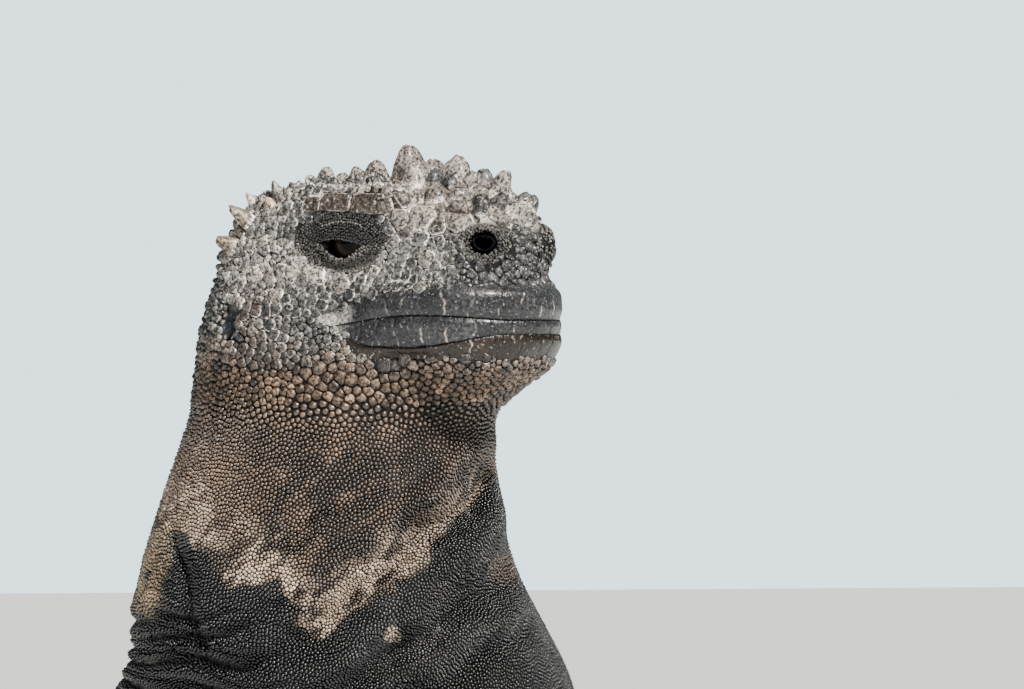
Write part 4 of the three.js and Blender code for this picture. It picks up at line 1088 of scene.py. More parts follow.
def near_pairs(points, reach):
    """Ordered pairs of points that are closer than the reach of one of them.

    Points are sorted into classes by octaves of reach. For each class, space is cut into cells as
    wide as its widest reach, and its points meet those of its own and finer classes in the cells
    round them.
    """
    level = np.floor(np.log2(reach / reach.min() + TINY)).astype(int)
    firsts, seconds = [], []
    for own in np.unique(level):
        asking = np.flatnonzero(level == own)
        asked = np.flatnonzero(level <= own)
        size = reach[asking].max()
        cells = np.floor((points - points.min(0)) / size).astype(np.int64) + 1
        span = cells.max(0) + 2
        keys = (cells[:, 0] * span[1] + cells[:, 1]) * span[2] + cells[:, 2]
        order = asked[np.argsort(keys[asked], kind="stable")]
        ordered = keys[order]
        for step in range(9):
            shift = ((step // 3 - 1) * span[1] + step % 3 - 1) * span[2]
            start = np.searchsorted(ordered, keys[asking] + shift - 1, "left")
            stop = np.searchsorted(ordered, keys[asking] + shift + 1, "right")
            counts = stop - start
            first = np.repeat(asking, counts)
            offset = np.arange(counts.sum()) - np.repeat(np.cumsum(counts) - counts, counts)
            second = order[offset + np.repeat(start, counts)]
            gap = points[first] - points[second]
            keep = ((gap * gap).sum(1) < reach[first] ** 2) & (first != second)
            firsts.append(first[keep])
            seconds.append(second[keep])
    first, second = np.concatenate(firsts), np.concatenate(seconds)
    coarser = level[first] > level[second]
    return np.concatenate([first, second[coarser]]), np.concatenate([second, first[coarser]])


def head_scale_values(points):
    """Spacing, height and sharpness over the head, and the head's share at each point.

    Each is a mean of the values at the places in HEAD_SCALES, weighted by 1 / (d^2 + s^2)^2.
    """
    h = half_head(points)
    apart = ((h[:, None] - HEAD_SCALES[None, :, :3]) ** 2).sum(2)
    weight = 1 / (apart + SHEPARD_SOFT ** 2) ** 2
    values = weight @ HEAD_SCALES[:, 3:] / weight.sum(1)[:, None]
    return values, smooth_step(h[:, 2], -24, -15)


def limb_share(points):
    """How far each point belongs to a limb and to a foot, from 0 to 1."""
    shares = np.zeros((2, len(points)))
    for parts in BODY_PARTS.values():
        for lines, share, margin in zip(parts, shares, (14, 8)):
            near = np.flatnonzero(near_line(points, lines, margin))
            if len(near):
                least = np.min([tube_distance(points[near], line, 1.0)[0] for line in lines], axis=0)
                share[near] = np.maximum(share[near], 1 - smooth_step(np.abs(least), 0.5, 3.0))
    return shares


def scale_values(points, coarse):
    """Spacing, height and sharpness of the scales at each point, in millimetres and shares."""
    _, place, turn = tube_distance(points, SPINE_FRAMES, 2.0)
    from_skull = SPINE_LENGTH * (1 - place)
    spacing = np.interp(from_skull, *np.transpose(SPINE_SPACING))
    spacing = spacing * (1 + 0.12 * smooth_step(-np.sin(turn), 0.3, 0.9) * smooth_step(from_skull, 130, 170))
    low = np.flatnonzero(points[:, 2] < LIMBS_UP_TO)
    if len(low):
        limb, foot = limb_share(points[low])
        spacing[low] += (LIMB_SPACING - spacing[low]) * limb
        spacing[low] += (FOOT_SPACING - spacing[low]) * foot
    values = np.stack([spacing, np.full(len(points), BEAD_HEIGHT), np.zeros(len(points))])
    high = np.flatnonzero(points[:, 2] > HEAD_LOOKS_FROM)
    if len(high):
        head, share = head_scale_values(points[high])
        values[:, high] += (head.T - values[:, high]) * share
    spacing, height, sharp = values
    return spacing * coarse, height, sharp


def scattered(corners, triangles, coarse, generator):
    """Points over the skin's triangles, as many as the spacing asks for in each.

    The triangles' areas over 0.866 s^2 are added up, a point is taken at each whole number, and
    its place in the triangle comes from two steps of the plastic ratio.
    """
    a, b, c = np.moveaxis(corners[triangles], 1, 0)
    area = np.linalg.norm(np.cross(b - a, c - a), axis=1) / 2
    spacing = scale_values((a + b + c) / 3, coarse)[0]
    share = np.cumsum(area / (0.866 * spacing ** 2))
    step = np.arange(int(share[-1]))
    chosen = np.searchsorted(share, step + generator.random(len(step)))
    chosen = np.clip(chosen, 0, len(triangles) - 1)
    u, v = (step * 0.7548777) % 1, (step * 0.5698403) % 1
    u, v = np.where(u + v > 1, [1 - u, 1 - v], [u, v])[:, :, None]
    return a[chosen] + u * (b[chosen] - a[chosen]) + v * (c[chosen] - a[chosen])


def varied_spacing(points, held, coarse, stray):
    """Spacing at each point, with the head's scales straying from it and the first ones held."""
    spacing = scale_values(points, coarse)[0]
    share = 0.25 + 0.75 * smooth_step(half_head(points)[:, 2], -16, -6)
    spacing = spacing * (1 + stray * share)
    spacing[:len(held)] = held
    return spacing


def evened(points, held, coarse, rounds, stray):
    """Points pushed apart over the skin until they lie as close as their spacing asks.

    Each pair nearer than 1.5 times its mean spacing w is pushed apart by w (1 - d / 1.5 w)^2.
    The first held points stay where they are.
    """
    spacing = varied_spacing(points, held, coarse, stray)
    outward = outward_at(points)
    for step in range(rounds):
        if step % 3 == 0:
            first, second = near_pairs(points, 1.6 * spacing)
        gap = points[first] - points[second]
        long = np.maximum(np.linalg.norm(gap, axis=1), TINY)
        wanted = (spacing[first] + spacing[second]) / 2
        push = wanted * np.maximum(1 - long / (1.5 * wanted), 0) ** 2 / long
        move = np.stack([np.bincount(first, part * push, len(points)) for part in gap.T], axis=1)
        move -= (move * outward).sum(1)[:, None] * outward
        limit = 0.35 * spacing / np.maximum(np.linalg.norm(move, axis=1), TINY)
        move *= np.minimum(limit, 1.0)[:, None] * 0.9
        move[:len(held)] = 0
        points = points + move
        if step % 4 == 3:
            spacing = varied_spacing(points, held, coarse, stray)
            outward = outward_at(points)
        shift = np.clip(skin_distance(points), -1, 1)
        shift[:len(held)] = 0
        points = points - shift[:, None] * outward
    return onto_skin(points, 1, 1.0), spacing


def bases(points, turned):
    """Directions ahead, aside and outward at points on the skin, turned by an angle each."""
    outward = outward_at(points)
    ahead = along_surface(np.array([1.0, 0.0, 0.35]), outward)
    aside = np.cross(outward, ahead)
    cosine, sine = np.cos(turned)[:, None], np.sin(turned)[:, None]
    return cosine * ahead + sine * aside, cosine * aside - sine * ahead, outward


def outlines(points, ahead, aside, spacing, sides):
    """How far each scale reaches at even angles round it, before it meets its neighbours.

    A neighbour at distance d takes the share s2 / (s1 + s2) of it, and the reach at angle a is
    the least of d s1 / (s1 + s2) / cos(a - its angle), and never more than SCALE_REACH times s1.
    """
    first, second = near_pairs(points, 2.1 * spacing)
    order = np.argsort(first, kind="stable")
    first, second = first[order], second[order]
    gap = points[second] - points[first]
    east, north = (gap * ahead[first]).sum(1), (gap * aside[first]).sum(1)
    bearing = np.arctan2(north, east)
    long = np.maximum(np.hypot(east, north), TINY)
    edge = long * spacing[first] / (spacing[first] + spacing[second])
    starts = np.flatnonzero(np.r_[True, np.diff(first) > 0])
    owners = first[starts]
    reach = np.repeat((SCALE_REACH * spacing)[:, None], sides, axis=1)
    for side in range(sides):
        own = edge / np.maximum(np.cos(bearing - 2 * np.pi * side / sides), 0.08)
        reach[owners, side] = np.minimum(reach[owners, side], np.minimum.reduceat(own, starts))
    return reach


def dome_faces(sides, rings, count):
    """Faces of many closed domes, each a foot, rings from the rim inward, and a tip."""
    column = np.arange(sides)
    after = (column + 1) % sides
    foot = np.stack([0 * column, 1 + after, 1 + column], axis=1)
    top = 1 + (rings - 1) * sides
    tip = np.stack([top + column, top + after, 0 * column + 1 + rings * sides], axis=1)
    offset = (np.arange(count) * (2 + rings * sides))[:, None, None]
    three = (np.concatenate([foot, tip])[None] + offset).reshape(-1, 3)
    return (1 + ring_faces(rings, sides)[None] + offset).reshape(-1, 4), three


def domes(spots, shares, lift, lean):
    """Vertices of many domes, (count, 2 + rings * sides, 3).

    A ring at share q lies at point + q reach (cos a ahead + sin a aside) + lift outward, the foot
    at point - sunk outward, and the tip at the last lift, each shifted by -lean lift ahead.
    """
    ahead, outward, reach = spots["ahead"], spots["outward"], spots["reach"]
    angle = 2 * np.pi * np.arange(reach.shape[1]) / reach.shape[1]
    cosine, sine = np.cos(angle)[None, :, None], np.sin(angle)[None, :, None]
    spread = (cosine * ahead[:, None] + sine * spots["aside"][:, None]) * reach[:, :, None]
    points, way = spots["points"][:, None], (outward - lean * ahead)[:, None]
    rises = lift.T[:, :, None, None]
    layers = [points - (spots["sunk"][:, None] * outward)[:, None]]
    layers += [points + share * spread + rise * way for share, rise in zip(shares, rises)]
    layers.append(points + rises[-1] * way)
    return np.concatenate(layers, axis=1)


def surface_places(points):
    """Places on an unwrap of the skin: how far along and how far round, in a square.

    Trunk, neck and tail take the lower three quarters, by distance along the spine and turn round
    it. Above them, the head takes one field and each limb a strip, in the same way.
    """
    _, place, turn = tube_distance(points, SPINE_FRAMES, 2.0)
    places = np.stack([0.02 + 0.96 * place, 0.02 + 0.70 * round_share(turn)], axis=1)
    high = points[:, 2] > HEAD_MAP_FROM
    h = to_head(points[high])
    climb = np.clip((h[:, 2] + 16) / 46, 0, 1)
    places[high, 0] = 0.02 + 0.46 * round_share(np.arctan2(h[:, 1], h[:, 0] - 20))
    places[high, 1] = 0.74 + 0.24 * climb
    for index, (lengths, foot) in enumerate(BODY_PARTS.values()):
        lines = [*lengths, *foot]
        near = np.flatnonzero(near_line(points, lines, 10) & (points[:, 2] < LIMB_MAP_UP_TO))
        best = np.full(len(near), 2.5)
        for line in lines:
            apart, own, turn = tube_distance(points[near], line, 1.0)
            closer = np.abs(apart) < best
            best[closer] = np.abs(apart)[closer]
            strip = np.stack([0.52 + 0.12 * index + 0.105 * own, 0.74 + 0.24 * round_share(turn)], axis=1)
            places[near[closer]] = strip[closer]
    return places


def scale_places(points, sides, shares):
    """Each dome's small patch of the map, at its root's place."""
    angle = 2 * np.pi * np.arange(sides) / sides
    ring = np.stack([np.cos(angle), np.sin(angle)], axis=1) * BAKE_PATCH / 2
    local = np.concatenate([[[0, 0]], *[ring * share for share in shares], [[0, 0]]])
    return (surface_places(points)[:, None] + local).reshape(-1, 2)


def dome_piece(name, spots, shares, lift, material, lean=0.0):
    """A joined mesh of domes: rim tones on the outer ring, edge tones inside it, then the scale's.

    Domes with a skirt follow the skin: each vertex moves by the skin's own fall there. Roughness
    adds streaks that run from rim to tip, and smaller jags.
    """
    outward = spots["outward"][:, None]
    count, sides = spots["reach"].shape
    cloud = domes(spots, shares, lift, lean)
    rings = [(share, slice(1 + ring * sides, 1 + (ring + 1) * sides)) for ring, share in enumerate(shares)]
    if "skirt" in spots:
        edge = cloud[:, 1:1 + sides].reshape(-1, 3)
        off = skin_distance(edge).reshape(count, sides)
        for share, part in rings:
            drop = (off + spots["skirt"]) * share ** 2
            cloud[:, part] -= np.clip(drop, -1.5, 1.5)[:, :, None] * outward
    if "rough" in spots:
        streak = np.random.default_rng(count).random((count, sides)) - 0.5
        jag = grain(cloud, 1.1, 11) + 0.6 * grain(cloud, 0.55, 12) - 0.8
        jag[:, 0] = 0
        for share, part in rings:
            jag[:, part] = (jag[:, part] + 1.5 * streak) * 4 * share * (1 - share)
        cloud += (jag * spots["rough"][:, None])[:, :, None] * outward
    quads, triangles = dome_faces(sides, len(shares), count)
    piece = new_piece(name, cloud.reshape(-1, 3), quads, triangles, material)
    colour = np.repeat(spots["colour"][:, None], cloud.shape[1], axis=1)
    colour[:, :1 + sides] = spots["rim"][:, None]
    if "edge" in spots:
        ring = rings[1][1]
        broken = smooth_step(grain(cloud[:, ring], 1.8, 13), 0.22, 0.52)
        colour[:, ring] = mix(colour[:, ring], spots["edge"], 0.9 * broken * spots["edged"][:, None])
    fleck = 1 + spots.get("fleck", 0.5) * (grain(cloud, 0.9, 14) - 0.5)
    set_colour(piece, (colour * fleck[..., None]).reshape(-1, 3), np.repeat(spots["salt"], cloud.shape[1]))
    set_bake_map(piece, scale_places(spots["points"], sides, shares))


def add_node(tree, kind, values, wires, **marks):
    """A shader node with marks set, then input values, then wires from sockets to its inputs."""
    node = tree.nodes.new("ShaderNode" + kind)
    for mark, value in marks.items():
        setattr(node, mark, value)
    for place, value in values.items():
        node.inputs[place].default_value = value
    for place, socket in wires.items():
        tree.links.new(socket, node.inputs[place])
    return node.outputs


# Materials


def hide_material(name, rough, gloss, bump, bump_size, speck_size, contrast=0.3, wet=0.0):
    """Scaly hide: the vertex colour, broken by noise, with salt specks and a fine relief."""
    material = bpy.data.materials.new(name)
    material.use_nodes = True
    tree = material.node_tree
    place = add_node(tree, "TexCoord", {}, {})["Object"]
    tone = add_node(tree, "Attribute", {}, {}, attribute_name="Tone")["Color"]
    salt = add_node(tree, "Attribute", {}, {}, attribute_name="Salt")["Fac"]

    def noise(**values):
        """Noise over the piece's own coordinates."""
        return add_node(tree, "TexNoise", values, {"Vector": place})["Fac"]

    spread = {"From Min": 0.42, "From Max": 0.60, "To Min": 1 - contrast, "To Max": 1 + contrast * 1.4}
    levels = add_node(tree, "MapRange", spread, {"Value": noise(Scale=1500, Detail=5, Roughness=0.7)})
    shaded = add_node(tree, "VectorMath", {}, {0: tone, "Scale": levels["Result"]}, operation="SCALE")
    cut = add_node(tree, "MapRange", {"From Min": 0.66, "From Max": 0.73},
                   {"Value": noise(Scale=speck_size, Detail=1)})
    amount = add_node(tree, "Math", {}, {0: cut["Result"], 1: salt}, operation="MULTIPLY")
    dusted = add_node(tree, "Mix", {"B": SALT_WHITE}, {"Factor": amount["Value"], "A": shaded["Vector"]},
                      data_type="RGBA")
    raised = add_node(tree, "Bump", {"Strength": bump, "Distance": RELIEF_DEPTH},
                      {"Height": noise(Scale=bump_size, Detail=3)})
    shader = tree.nodes["Principled BSDF"]
    finish = {"Roughness": rough, "Specular IOR Level": gloss, "Coat Weight": wet, "Coat Roughness": 0.18}
    for socket, value in finish.items():
        shader.inputs[socket].default_value = value
    tree.links.new(dusted["Result"], shader.inputs["Base Color"])
    tree.links.new(raised["Normal"], shader.inputs["Normal"])
    return material


def number(name, description, default, low, high, **more):
    """A property that holds one number."""
    return bpy.props.FloatProperty(
        name=name, description=description, default=default, min=low, max=high, **more)


# Settings


def length(name, description, default, low, high):
    """A length property in metres."""
    return number(name, description, default, low, high, unit="LENGTH", precision=5)


def colour_choice(name, description, default):
    """A colour property."""
    return bpy.props.FloatVectorProperty(
        name=name, description=description, default=default, size=3, subtype="COLOR", min=0, max=1)


class IguanaSkinSettings(bpy.types.PropertyGroup):
    """Sizes of the skin under the scales."""

    cell: length("Cell", "Edge of the skin's faces on the body", 0.0026, 0.001, 0.01)
    head_reach: length("Head Reach", "How far from the head's middle the finer faces reach", 0.070, 0.01, 0.2)
    roughness: number("Roughness", "Roughness of the hide", 0.52, 0, 1, subtype="FACTOR")


class IguanaScaleSettings(bpy.types.PropertyGroup):
    """Sizes of the scales."""

    coarse: number("Coarseness", "Size of all scales against life", 1.0, 0.5, 4)
    rounds: bpy.props.IntProperty(
        name="Rounds", description="Rounds in which scales are pushed apart", default=26, min=0, max=60)
    seed: bpy.props.IntProperty(name="Seed", description="Seed of all variation", default=27, min=0)
    stray: number("Stray", "Share by which the head's scales stray in size", 0.28, 0, 0.5, subtype="FACTOR")
    variation: number("Variation", "Share by which sizes and tones vary", 0.16, 0, 0.6, subtype="FACTOR")


class IguanaCrestSettings(bpy.types.PropertyGroup):
    """Sizes of the crest."""

    spacing: length("Spacing", "Distance from one spine to the next", 0.0024, 0.001, 0.02)
    nape: length("Nape Height", "Height of the spines on nape and back", 0.0030, 0.0, 0.02)
    tail: length("Tail Height", "Height of the spines on the tail", 0.0034, 0.0, 0.02)


class IguanaStageSettings(bpy.types.PropertyGroup):
    """Camera, floor and light."""

    azimuth: number("Azimuth", "Camera's way round the animal", CAMERA_AZIMUTH, -4, 4, subtype="ANGLE")
    distance: length("Distance", "Camera's distance from the head", 2.5, 0.3, 20)
    frame_width: length("Frame Width", "Width of the picture at the head", 0.2048, 0.05, 5)
    aim_across: length("Aim Across", "Picture's middle across the body's frame", 0.0364, -1, 1)
    aim_up: length("Aim Up", "Picture's middle over the floor", 0.1809, 0, 1)
    backdrop: colour_choice("Backdrop", "Colour round the scene", (0.68, 0.88, 0.94))
    floor: colour_choice("Floor", "Colour of the floor", (0.80, 0.82, 0.83))
    key: number("Key Light", "Strength of the main light", 7.2, 0, 100)
    softness: number("Softness", "Width of the main light", math.radians(6), 0, 1, subtype="ANGLE")
    fill: number("Fill Light", "Power of the fill in watts", 3, 0, 1000)
    room: number("Room Light", "Strength of the light from all round", 0.15, 0, 10)
    seen: number("Backdrop Strength", "Brightness of the backdrop in the picture", 2.6, 0, 10)


def placed(name, data, location, way):
    """A light or camera in the scene that looks against a way."""
    holder = bpy.data.objects.new(name, data)
    holder.location = location
    holder.rotation_mode = "QUATERNION"
    holder.rotation_quaternion = way.to_track_quat("Z", "Y")
    bpy.context.scene.collection.objects.link(holder)
    return holder


# Parts of the build that later operators take up
built = {}


def warped(points, reach):
    """Points drawn out from the head's middle: r becomes r + g R tanh(r / R)."""
    out = points - HEAD_MIDDLE
    r = np.linalg.norm(out, axis=1, keepdims=True)
    return HEAD_MIDDLE + out * (r + HEAD_GAIN * reach * np.tanh(r / reach)) / np.maximum(r, TINY)


def unwarped(points, reach):
    """The reverse of warped, read off a fine table."""
    out = points - HEAD_MIDDLE
    r = np.linalg.norm(out, axis=1)
    table = np.linspace(0, 900, 20000)
    own = np.interp(r, table + HEAD_GAIN * reach * np.tanh(table / reach), table)
    return HEAD_MIDDLE + out * (own / np.maximum(r, TINY))[:, None]


def ball_rings(centre, radii, rows, columns):
    """Rings of an ellipsoid from its top to its foot: (r cos v cos u, r cos v sin u, r sin v)."""
    v = np.linspace(np.pi / 2 - 0.02, -np.pi / 2 + 0.02, rows)[:, None]
    u = np.linspace(0, 2 * np.pi, columns, endpoint=False)[None, :]
    unit_ball = np.stack([np.cos(v) * np.cos(u), np.cos(v) * np.sin(u), np.sin(v) + 0 * u], axis=-1)
    return unit_ball * np.array(radii) + np.array(centre)


def below_beads(points, faces):
    """Points sunk so that no face's middle stands above the skin's own level."""
    over = np.maximum(skin_distance(points[faces].mean(1)), 0.0)
    sink = np.zeros(len(points))
    for corner in range(4):
        np.maximum.at(sink, faces[:, corner], over)
    place = tube_distance(points, SPINE_FRAMES, 2.0)[1]
    creased = np.clip(fold_depth(points, place), 0.0, 3.0)
    return points - np.minimum(sink + 0.06 + 0.28 * creased, 1.5)[:, None] * outward_at(points)


def rough_body():
    """Closed tubes and balls that overlap, which the skin is drawn round."""
    tubes = [capped_tube(tube_rings(SPINE_FRAMES, SPINE_COLUMNS))]
    for lengths, lines in BODY_PARTS.values():
        tubes += [capped_tube(tube_rings(line, 20)) for line in [*lengths, *lines]]
    for form in (CRANIUM, JAW_MUSCLE, SNOUT, LOWER_JAW, THROAT, NOSTRIL_MOUND):
        for side in (1, -1) if form["centre"][1] else (1,):
            centre = np.array(form["centre"]) * [1, side, 1]
            tubes.append(head_tube(ball_rings(centre, form["radii"], 22, 36)[::-1]))
    lips = ball_rings([UPPER_LIP["forward"], 0, 0], [*UPPER_LIP["radii"], 6.4], 22, 48)[::-1]
    return joined_tubes([*tubes, head_tube(lips)])


def remeshed(vertices, quads, triangles, cell):
    """One closed surface of quads round overlapping closed ones, by voxels of a cell's size."""
    mesh = filled_mesh("rough body", vertices, quads, triangles)
    rough = bpy.data.objects.new("rough body", mesh)
    bpy.context.scene.collection.objects.link(rough)
    wrap = rough.modifiers.new("wrap", "REMESH")
    wrap.mode = "VOXEL"
    wrap.voxel_size = cell
    wrapped = rough.evaluated_get(bpy.context.evaluated_depsgraph_get()).to_mesh()
    points = np.empty(3 * len(wrapped.vertices), np.float32)
    wrapped.vertices.foreach_get("co", points)
    faces = np.empty(4 * len(wrapped.polygons), np.int32)
    wrapped.loops.foreach_get("vertex_index", faces)
    rough.to_mesh_clear()
    bpy.data.objects.remove(rough)
    bpy.data.meshes.remove(mesh)
    return points.reshape(-1, 3).astype(float), faces.reshape(-1, 4)


def largest_shell(vertices, quads):
    """The vertices and quads of the connected surface that has the most quads."""
    label = np.arange(len(vertices))
    while True:
        least = label[quads].min(1)
        before = label.copy()
        for side in range(4):
            np.minimum.at(label, quads[:, side], least)
        label = label[label]
        if (label == before).all():
            break
    groups, counts = np.unique(label[quads[:, 0]], return_counts=True)
    keep = label[quads[:, 0]] == groups[counts.argmax()]
    used = np.unique(quads[keep])
    fresh = np.full(len(vertices), -1)
    fresh[used] = np.arange(len(used))
    return vertices[used], fresh[quads[keep]]


class IGUANA_OT_skin(bpy.types.Operator):
    """Build the one skin of body, head, limbs and feet"""

    bl_idname = "iguana.skin"
    bl_label = "Skin"

    def execute(self, context):
        settings = context.scene.iguana_skin
        reach = settings.head_reach / MILLIMETRE
        cell = settings.cell / MILLIMETRE * QUICK_CELL
        vertices, quads, triangles = rough_body()
        points, faces = remeshed(warped(vertices, reach), quads, triangles, cell)
        points, faces = largest_shell(points, faces)
        points = onto_skin(unwarped(points, reach), 4, hollows=False)
        high = points[:, 2] > HEAD_FIELD_FROM
        points[high] = pressed_in(points[high])
        points = below_beads(onto_skin(points, 3, 1.5), faces)
        material = hide_material("hide between scales", settings.roughness, 0.4, 0.5, 2200, 1500)
        skin = new_piece("skin", points, faces, np.zeros((0, 3), int), material)
        # The skin takes the colour between scales, which holds painted shade for the gaps
        _, between, salt = markings(points, outward_at(points))
        set_colour(skin, between, salt)
        flesh = [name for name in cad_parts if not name.startswith(("claw", "eye"))]
        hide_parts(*flesh)
        built["points"] = points
        built["triangles"] = np.concatenate([faces[:, [0, 1, 2]], faces[:, [0, 2, 3]]])
        return {"FINISHED"}


def lip_taper(turn):
    """How much of a lip's height is left at an angle from the front, in degrees."""
    return 1 - LIP_TAPER[1] * smooth_step(np.abs(turn), LIP_TAPER[0], LIP_END)


def upper_reach(forward):
    """Height of the upper lip's upper edge."""
    return LIP_REACH[0] * np.interp(forward, *UPPER_DRIFT)


def lower_reach(forward):
    """Height of the lower lip's lower edge."""
    return LIP_REACH[1] * np.interp(forward, *LOWER_DRIFT)


def left_bare(points):
    """Which points lie where lips, lids, brow plates, nostrils, ears or the floor take over."""
    h = half_head(points)
    forward, aside, up = h.T
    back = (forward - LOWER_LIP["forward"]) / LOWER_LIP["radii"][0]
    turn = np.degrees(np.arccos(np.clip(back, -1, 1)))
    narrow = lip_taper(turn)
    low = np.where(turn < UNDER_LIP_END, LIP_REACH[2], LIP_REACH[1]) * narrow
    lips = (turn < LIP_END - 1) & (up > low + 0.9 * narrow) & (aside < 25)
    lips &= up < (upper_reach(forward) - 0.6) * narrow
    lids = (in_orbit(h) < 1.01) & (aside > 11)
    along, round_hole = in_nostril(h, NOSTRIL_HALF)
    nostril = (round_hole < NOSTRIL_RINGS) & (along > -3.2)
    ear = (np.hypot((forward - EAR_CENTRE[0]) / 2.0, up / 3.6) < 1) & (aside > 16)
    bare = lips | lids | nostril | ear
    for f, a, u, long, tall in BROW_PLATES:
        bare |= (np.abs(forward - f) < long + 0.2) & (np.abs(up - u) < tall + 0.2) & (np.abs(aside - a) < 3.4)
    return (bare & (points[:, 2] > 165)) | (points[:, 2] < 0.6)


def large_scutes():
    """The single large scutes on both sides, and which of them are yellow."""
    scutes = np.array(LARGE_SCUTES)
    yellow = np.zeros(len(scutes), bool)
    yellow[YELLOW_SCUTES] = True
    paired = scutes[:, 1] > 0
    other = scutes[paired] * [1, -1, 1, 1, 1, 1]
    return np.concatenate([scutes, other]), np.concatenate([yellow, yellow[paired]])


def scale_layout(settings):
    """All scale roots over the skin with their spacing and outlines, worked out once."""
    if "layout" in built:
        return built["layout"]
    coarse = settings.coarse * QUICK_SCALES
    generator = np.random.default_rng(settings.seed)
    large, yellow = large_scutes()
    fixed = onto_skin(from_head(large[:, :3]), 6)
    loose = scattered(built["points"], built["triangles"], coarse, generator)
    stray = np.clip(generator.normal(0, settings.stray, len(fixed) + len(loose)), -0.35, 0.5)
    points, spacing = evened(np.concatenate([fixed, loose]), large[:, 3], coarse, settings.rounds, stray)
    turned = generator.random(len(points)) * 2 * np.pi
    height, sharp = scale_values(points, coarse)[1:]
    height[:len(large)] = large[:, 4]
    sharp[:len(large)] = large[:, 5]
    ahead, aside, outward = bases(points, turned)
    nape = smooth_step(-outward @ ACROSS, 0.7, 0.95) * smooth_step(points[:, 2], 130, 140)
    height *= 1 + 0.8 * nape * (points[:, 2] < 200)
    _, place, _ = tube_distance(points, SPINE_FRAMES, 2.0)
    colour, between, salt = markings(points, outward)
    colour[:len(large)] = mix(colour[:len(large)], HORN_TAN, 0.5 * (large[:, 1] <= 0))
    colour[:len(large)][yellow] = HORN_YELLOW
    tint = 1 + settings.variation * (2 * generator.random(len(points)) - 1)
    stretch = 1 + settings.variation * (2 * generator.random(len(points)) - 1)
    built["layout"] = dict(
        points=points, spacing=spacing, height=height * stretch, sharp=sharp, ahead=ahead, aside=aside,
        outward=outward, from_skull=SPINE_LENGTH * (1 - place), limb=np.maximum(*limb_share(points)),
        colour=colour * (tint * tint)[:, None], between=between, salt=salt, bare=left_bare(points),
        head=half_head(points)[:, 2] > HEAD_SCALES_FROM,
        reaches={sides: outlines(points, ahead, aside, spacing, sides) for sides in (7, 9, 16)})
    return built["layout"]


def chosen_spots(layout, chosen, sides):
    """What the layout says of the chosen scales, with their outlines at even angles."""
    keys = ("points", "spacing", "height", "sharp", "ahead", "aside", "outward", "colour", "between", "salt")
    return {**{key: layout[key][chosen] for key in keys}, "reach": layout["reaches"][sides][chosen]}


def bead_piece(name, layout, chosen, shares, material):
    """A joined mesh of small beads: a rim at the skin, a tip, and a foot sunk under it."""
    spots = chosen_spots(layout, chosen, 7)
    spacing, colour = spots["spacing"], spots["colour"]
    height = spots["height"] * spacing
    lift = np.stack([(1 - share ** 2.5) * height - 0.03 * spacing for share in [*shares, 0.0]], axis=1)
    # Rim and foot take a darkened copy of the bead's colour mixed with the colour between scales: painted
    # shade round each bead's foot
    spots.update(reach=spots["reach"] * 0.97, sunk=0.4 * spacing, colour=colour * 1.1,
                 rim=mix(colour * 0.2, spots["between"], 0.5))
    dome_piece(name, spots, shares, lift, material)


def scute_piece(name, layout, chosen, sides, shares, material):
    """A joined mesh of larger scales: flat plates, round beads and blunt horns.

    Over a ring at share q, a plate rises by 1 - q^10, a bead by (1 - q^2)^0.5 and a horn by
    1 - q^f, with f from 2.8 down to 1.5 for the sharpest, mixed by height and sharpness.
    """
    spots = chosen_spots(layout, chosen, sides)
    points, spacing, height, sharp = (spots[key] for key in ("points", "spacing", "height", "sharp"))
    flat = 1 - smooth_step(height, 0.24, 0.45)
    fall = 2.8 - 1.3 * smooth_step(sharp, 0.8, 0.9)
    rise = []
    for share in [*shares, 0.0]:
        soft = (1 - share ** 10) * flat + (1 - share ** 2) ** 0.5 * (1 - flat)
        rise.append(soft * (1 - sharp) + (1 - share ** fall) * sharp)
    lift = np.stack(rise, axis=1) * (height * spacing)[:, None]
    lift[:, 0] -= 0.06
    colour = spots["colour"] * (0.55 + 0.9 * grain(points, 0.9, 15))[:, None]
    h = half_head(points)
    edged = smooth_step(h[:, 2], -11, -6) * (1 - 0.8 * smooth_step(h[:, 0], 44, 49) * (h[:, 2] < 17))
    spots.update(
        # The outer ring takes the seam's colour mixed with a darkened copy of the scale's own: partly seam
        # colour, partly painted shade at the foot
        reach=spots["reach"] * (1.0 - 0.04 / (spacing + 1))[:, None], sunk=0.3 * spacing + 0.4,
        colour=colour, rim=mix(colour * 0.6, spots["between"], 0.75), edge=EDGE_PALE * 1.15, fleck=1.1,
        edged=edged * smooth_step(spacing, 1.3, 3.0), skirt=0.08,
        rough=0.08 + 0.3 * sharp ** 2 * np.clip(spacing - 1.5, 0, 4.0))
    dome_piece(name, spots, shares, lift, material)


class IGUANA_OT_head_scales(bpy.types.Operator):
    """Build the scutes, plates and beads of the head"""

    bl_idname = "iguana.head_scales"
    bl_label = "Head Scales"

    def execute(self, context):
        layout = scale_layout(context.scene.iguana_scales)
        shown = layout["head"] & ~layout["bare"]
        large = layout["spacing"] > LARGE_FROM * QUICK_SCALES
        horn = hide_material("horny scutes", 0.45, 0.5, 1.0, 1500, 1700, 0.92, 0.3)
        scute_piece("head_scutes", layout, shown & large, 16, [1.0, 0.95, 0.84, 0.6, 0.38, 0.18], horn)
        beads = hide_material("head beads", 0.42, 0.5, 0.9, 1700, 1700, 0.9, 0.3)
        scute_piece("head_beads", layout, shown & ~large, 9, [1.0, 0.91, 0.55], beads)
        return {"FINISHED"}


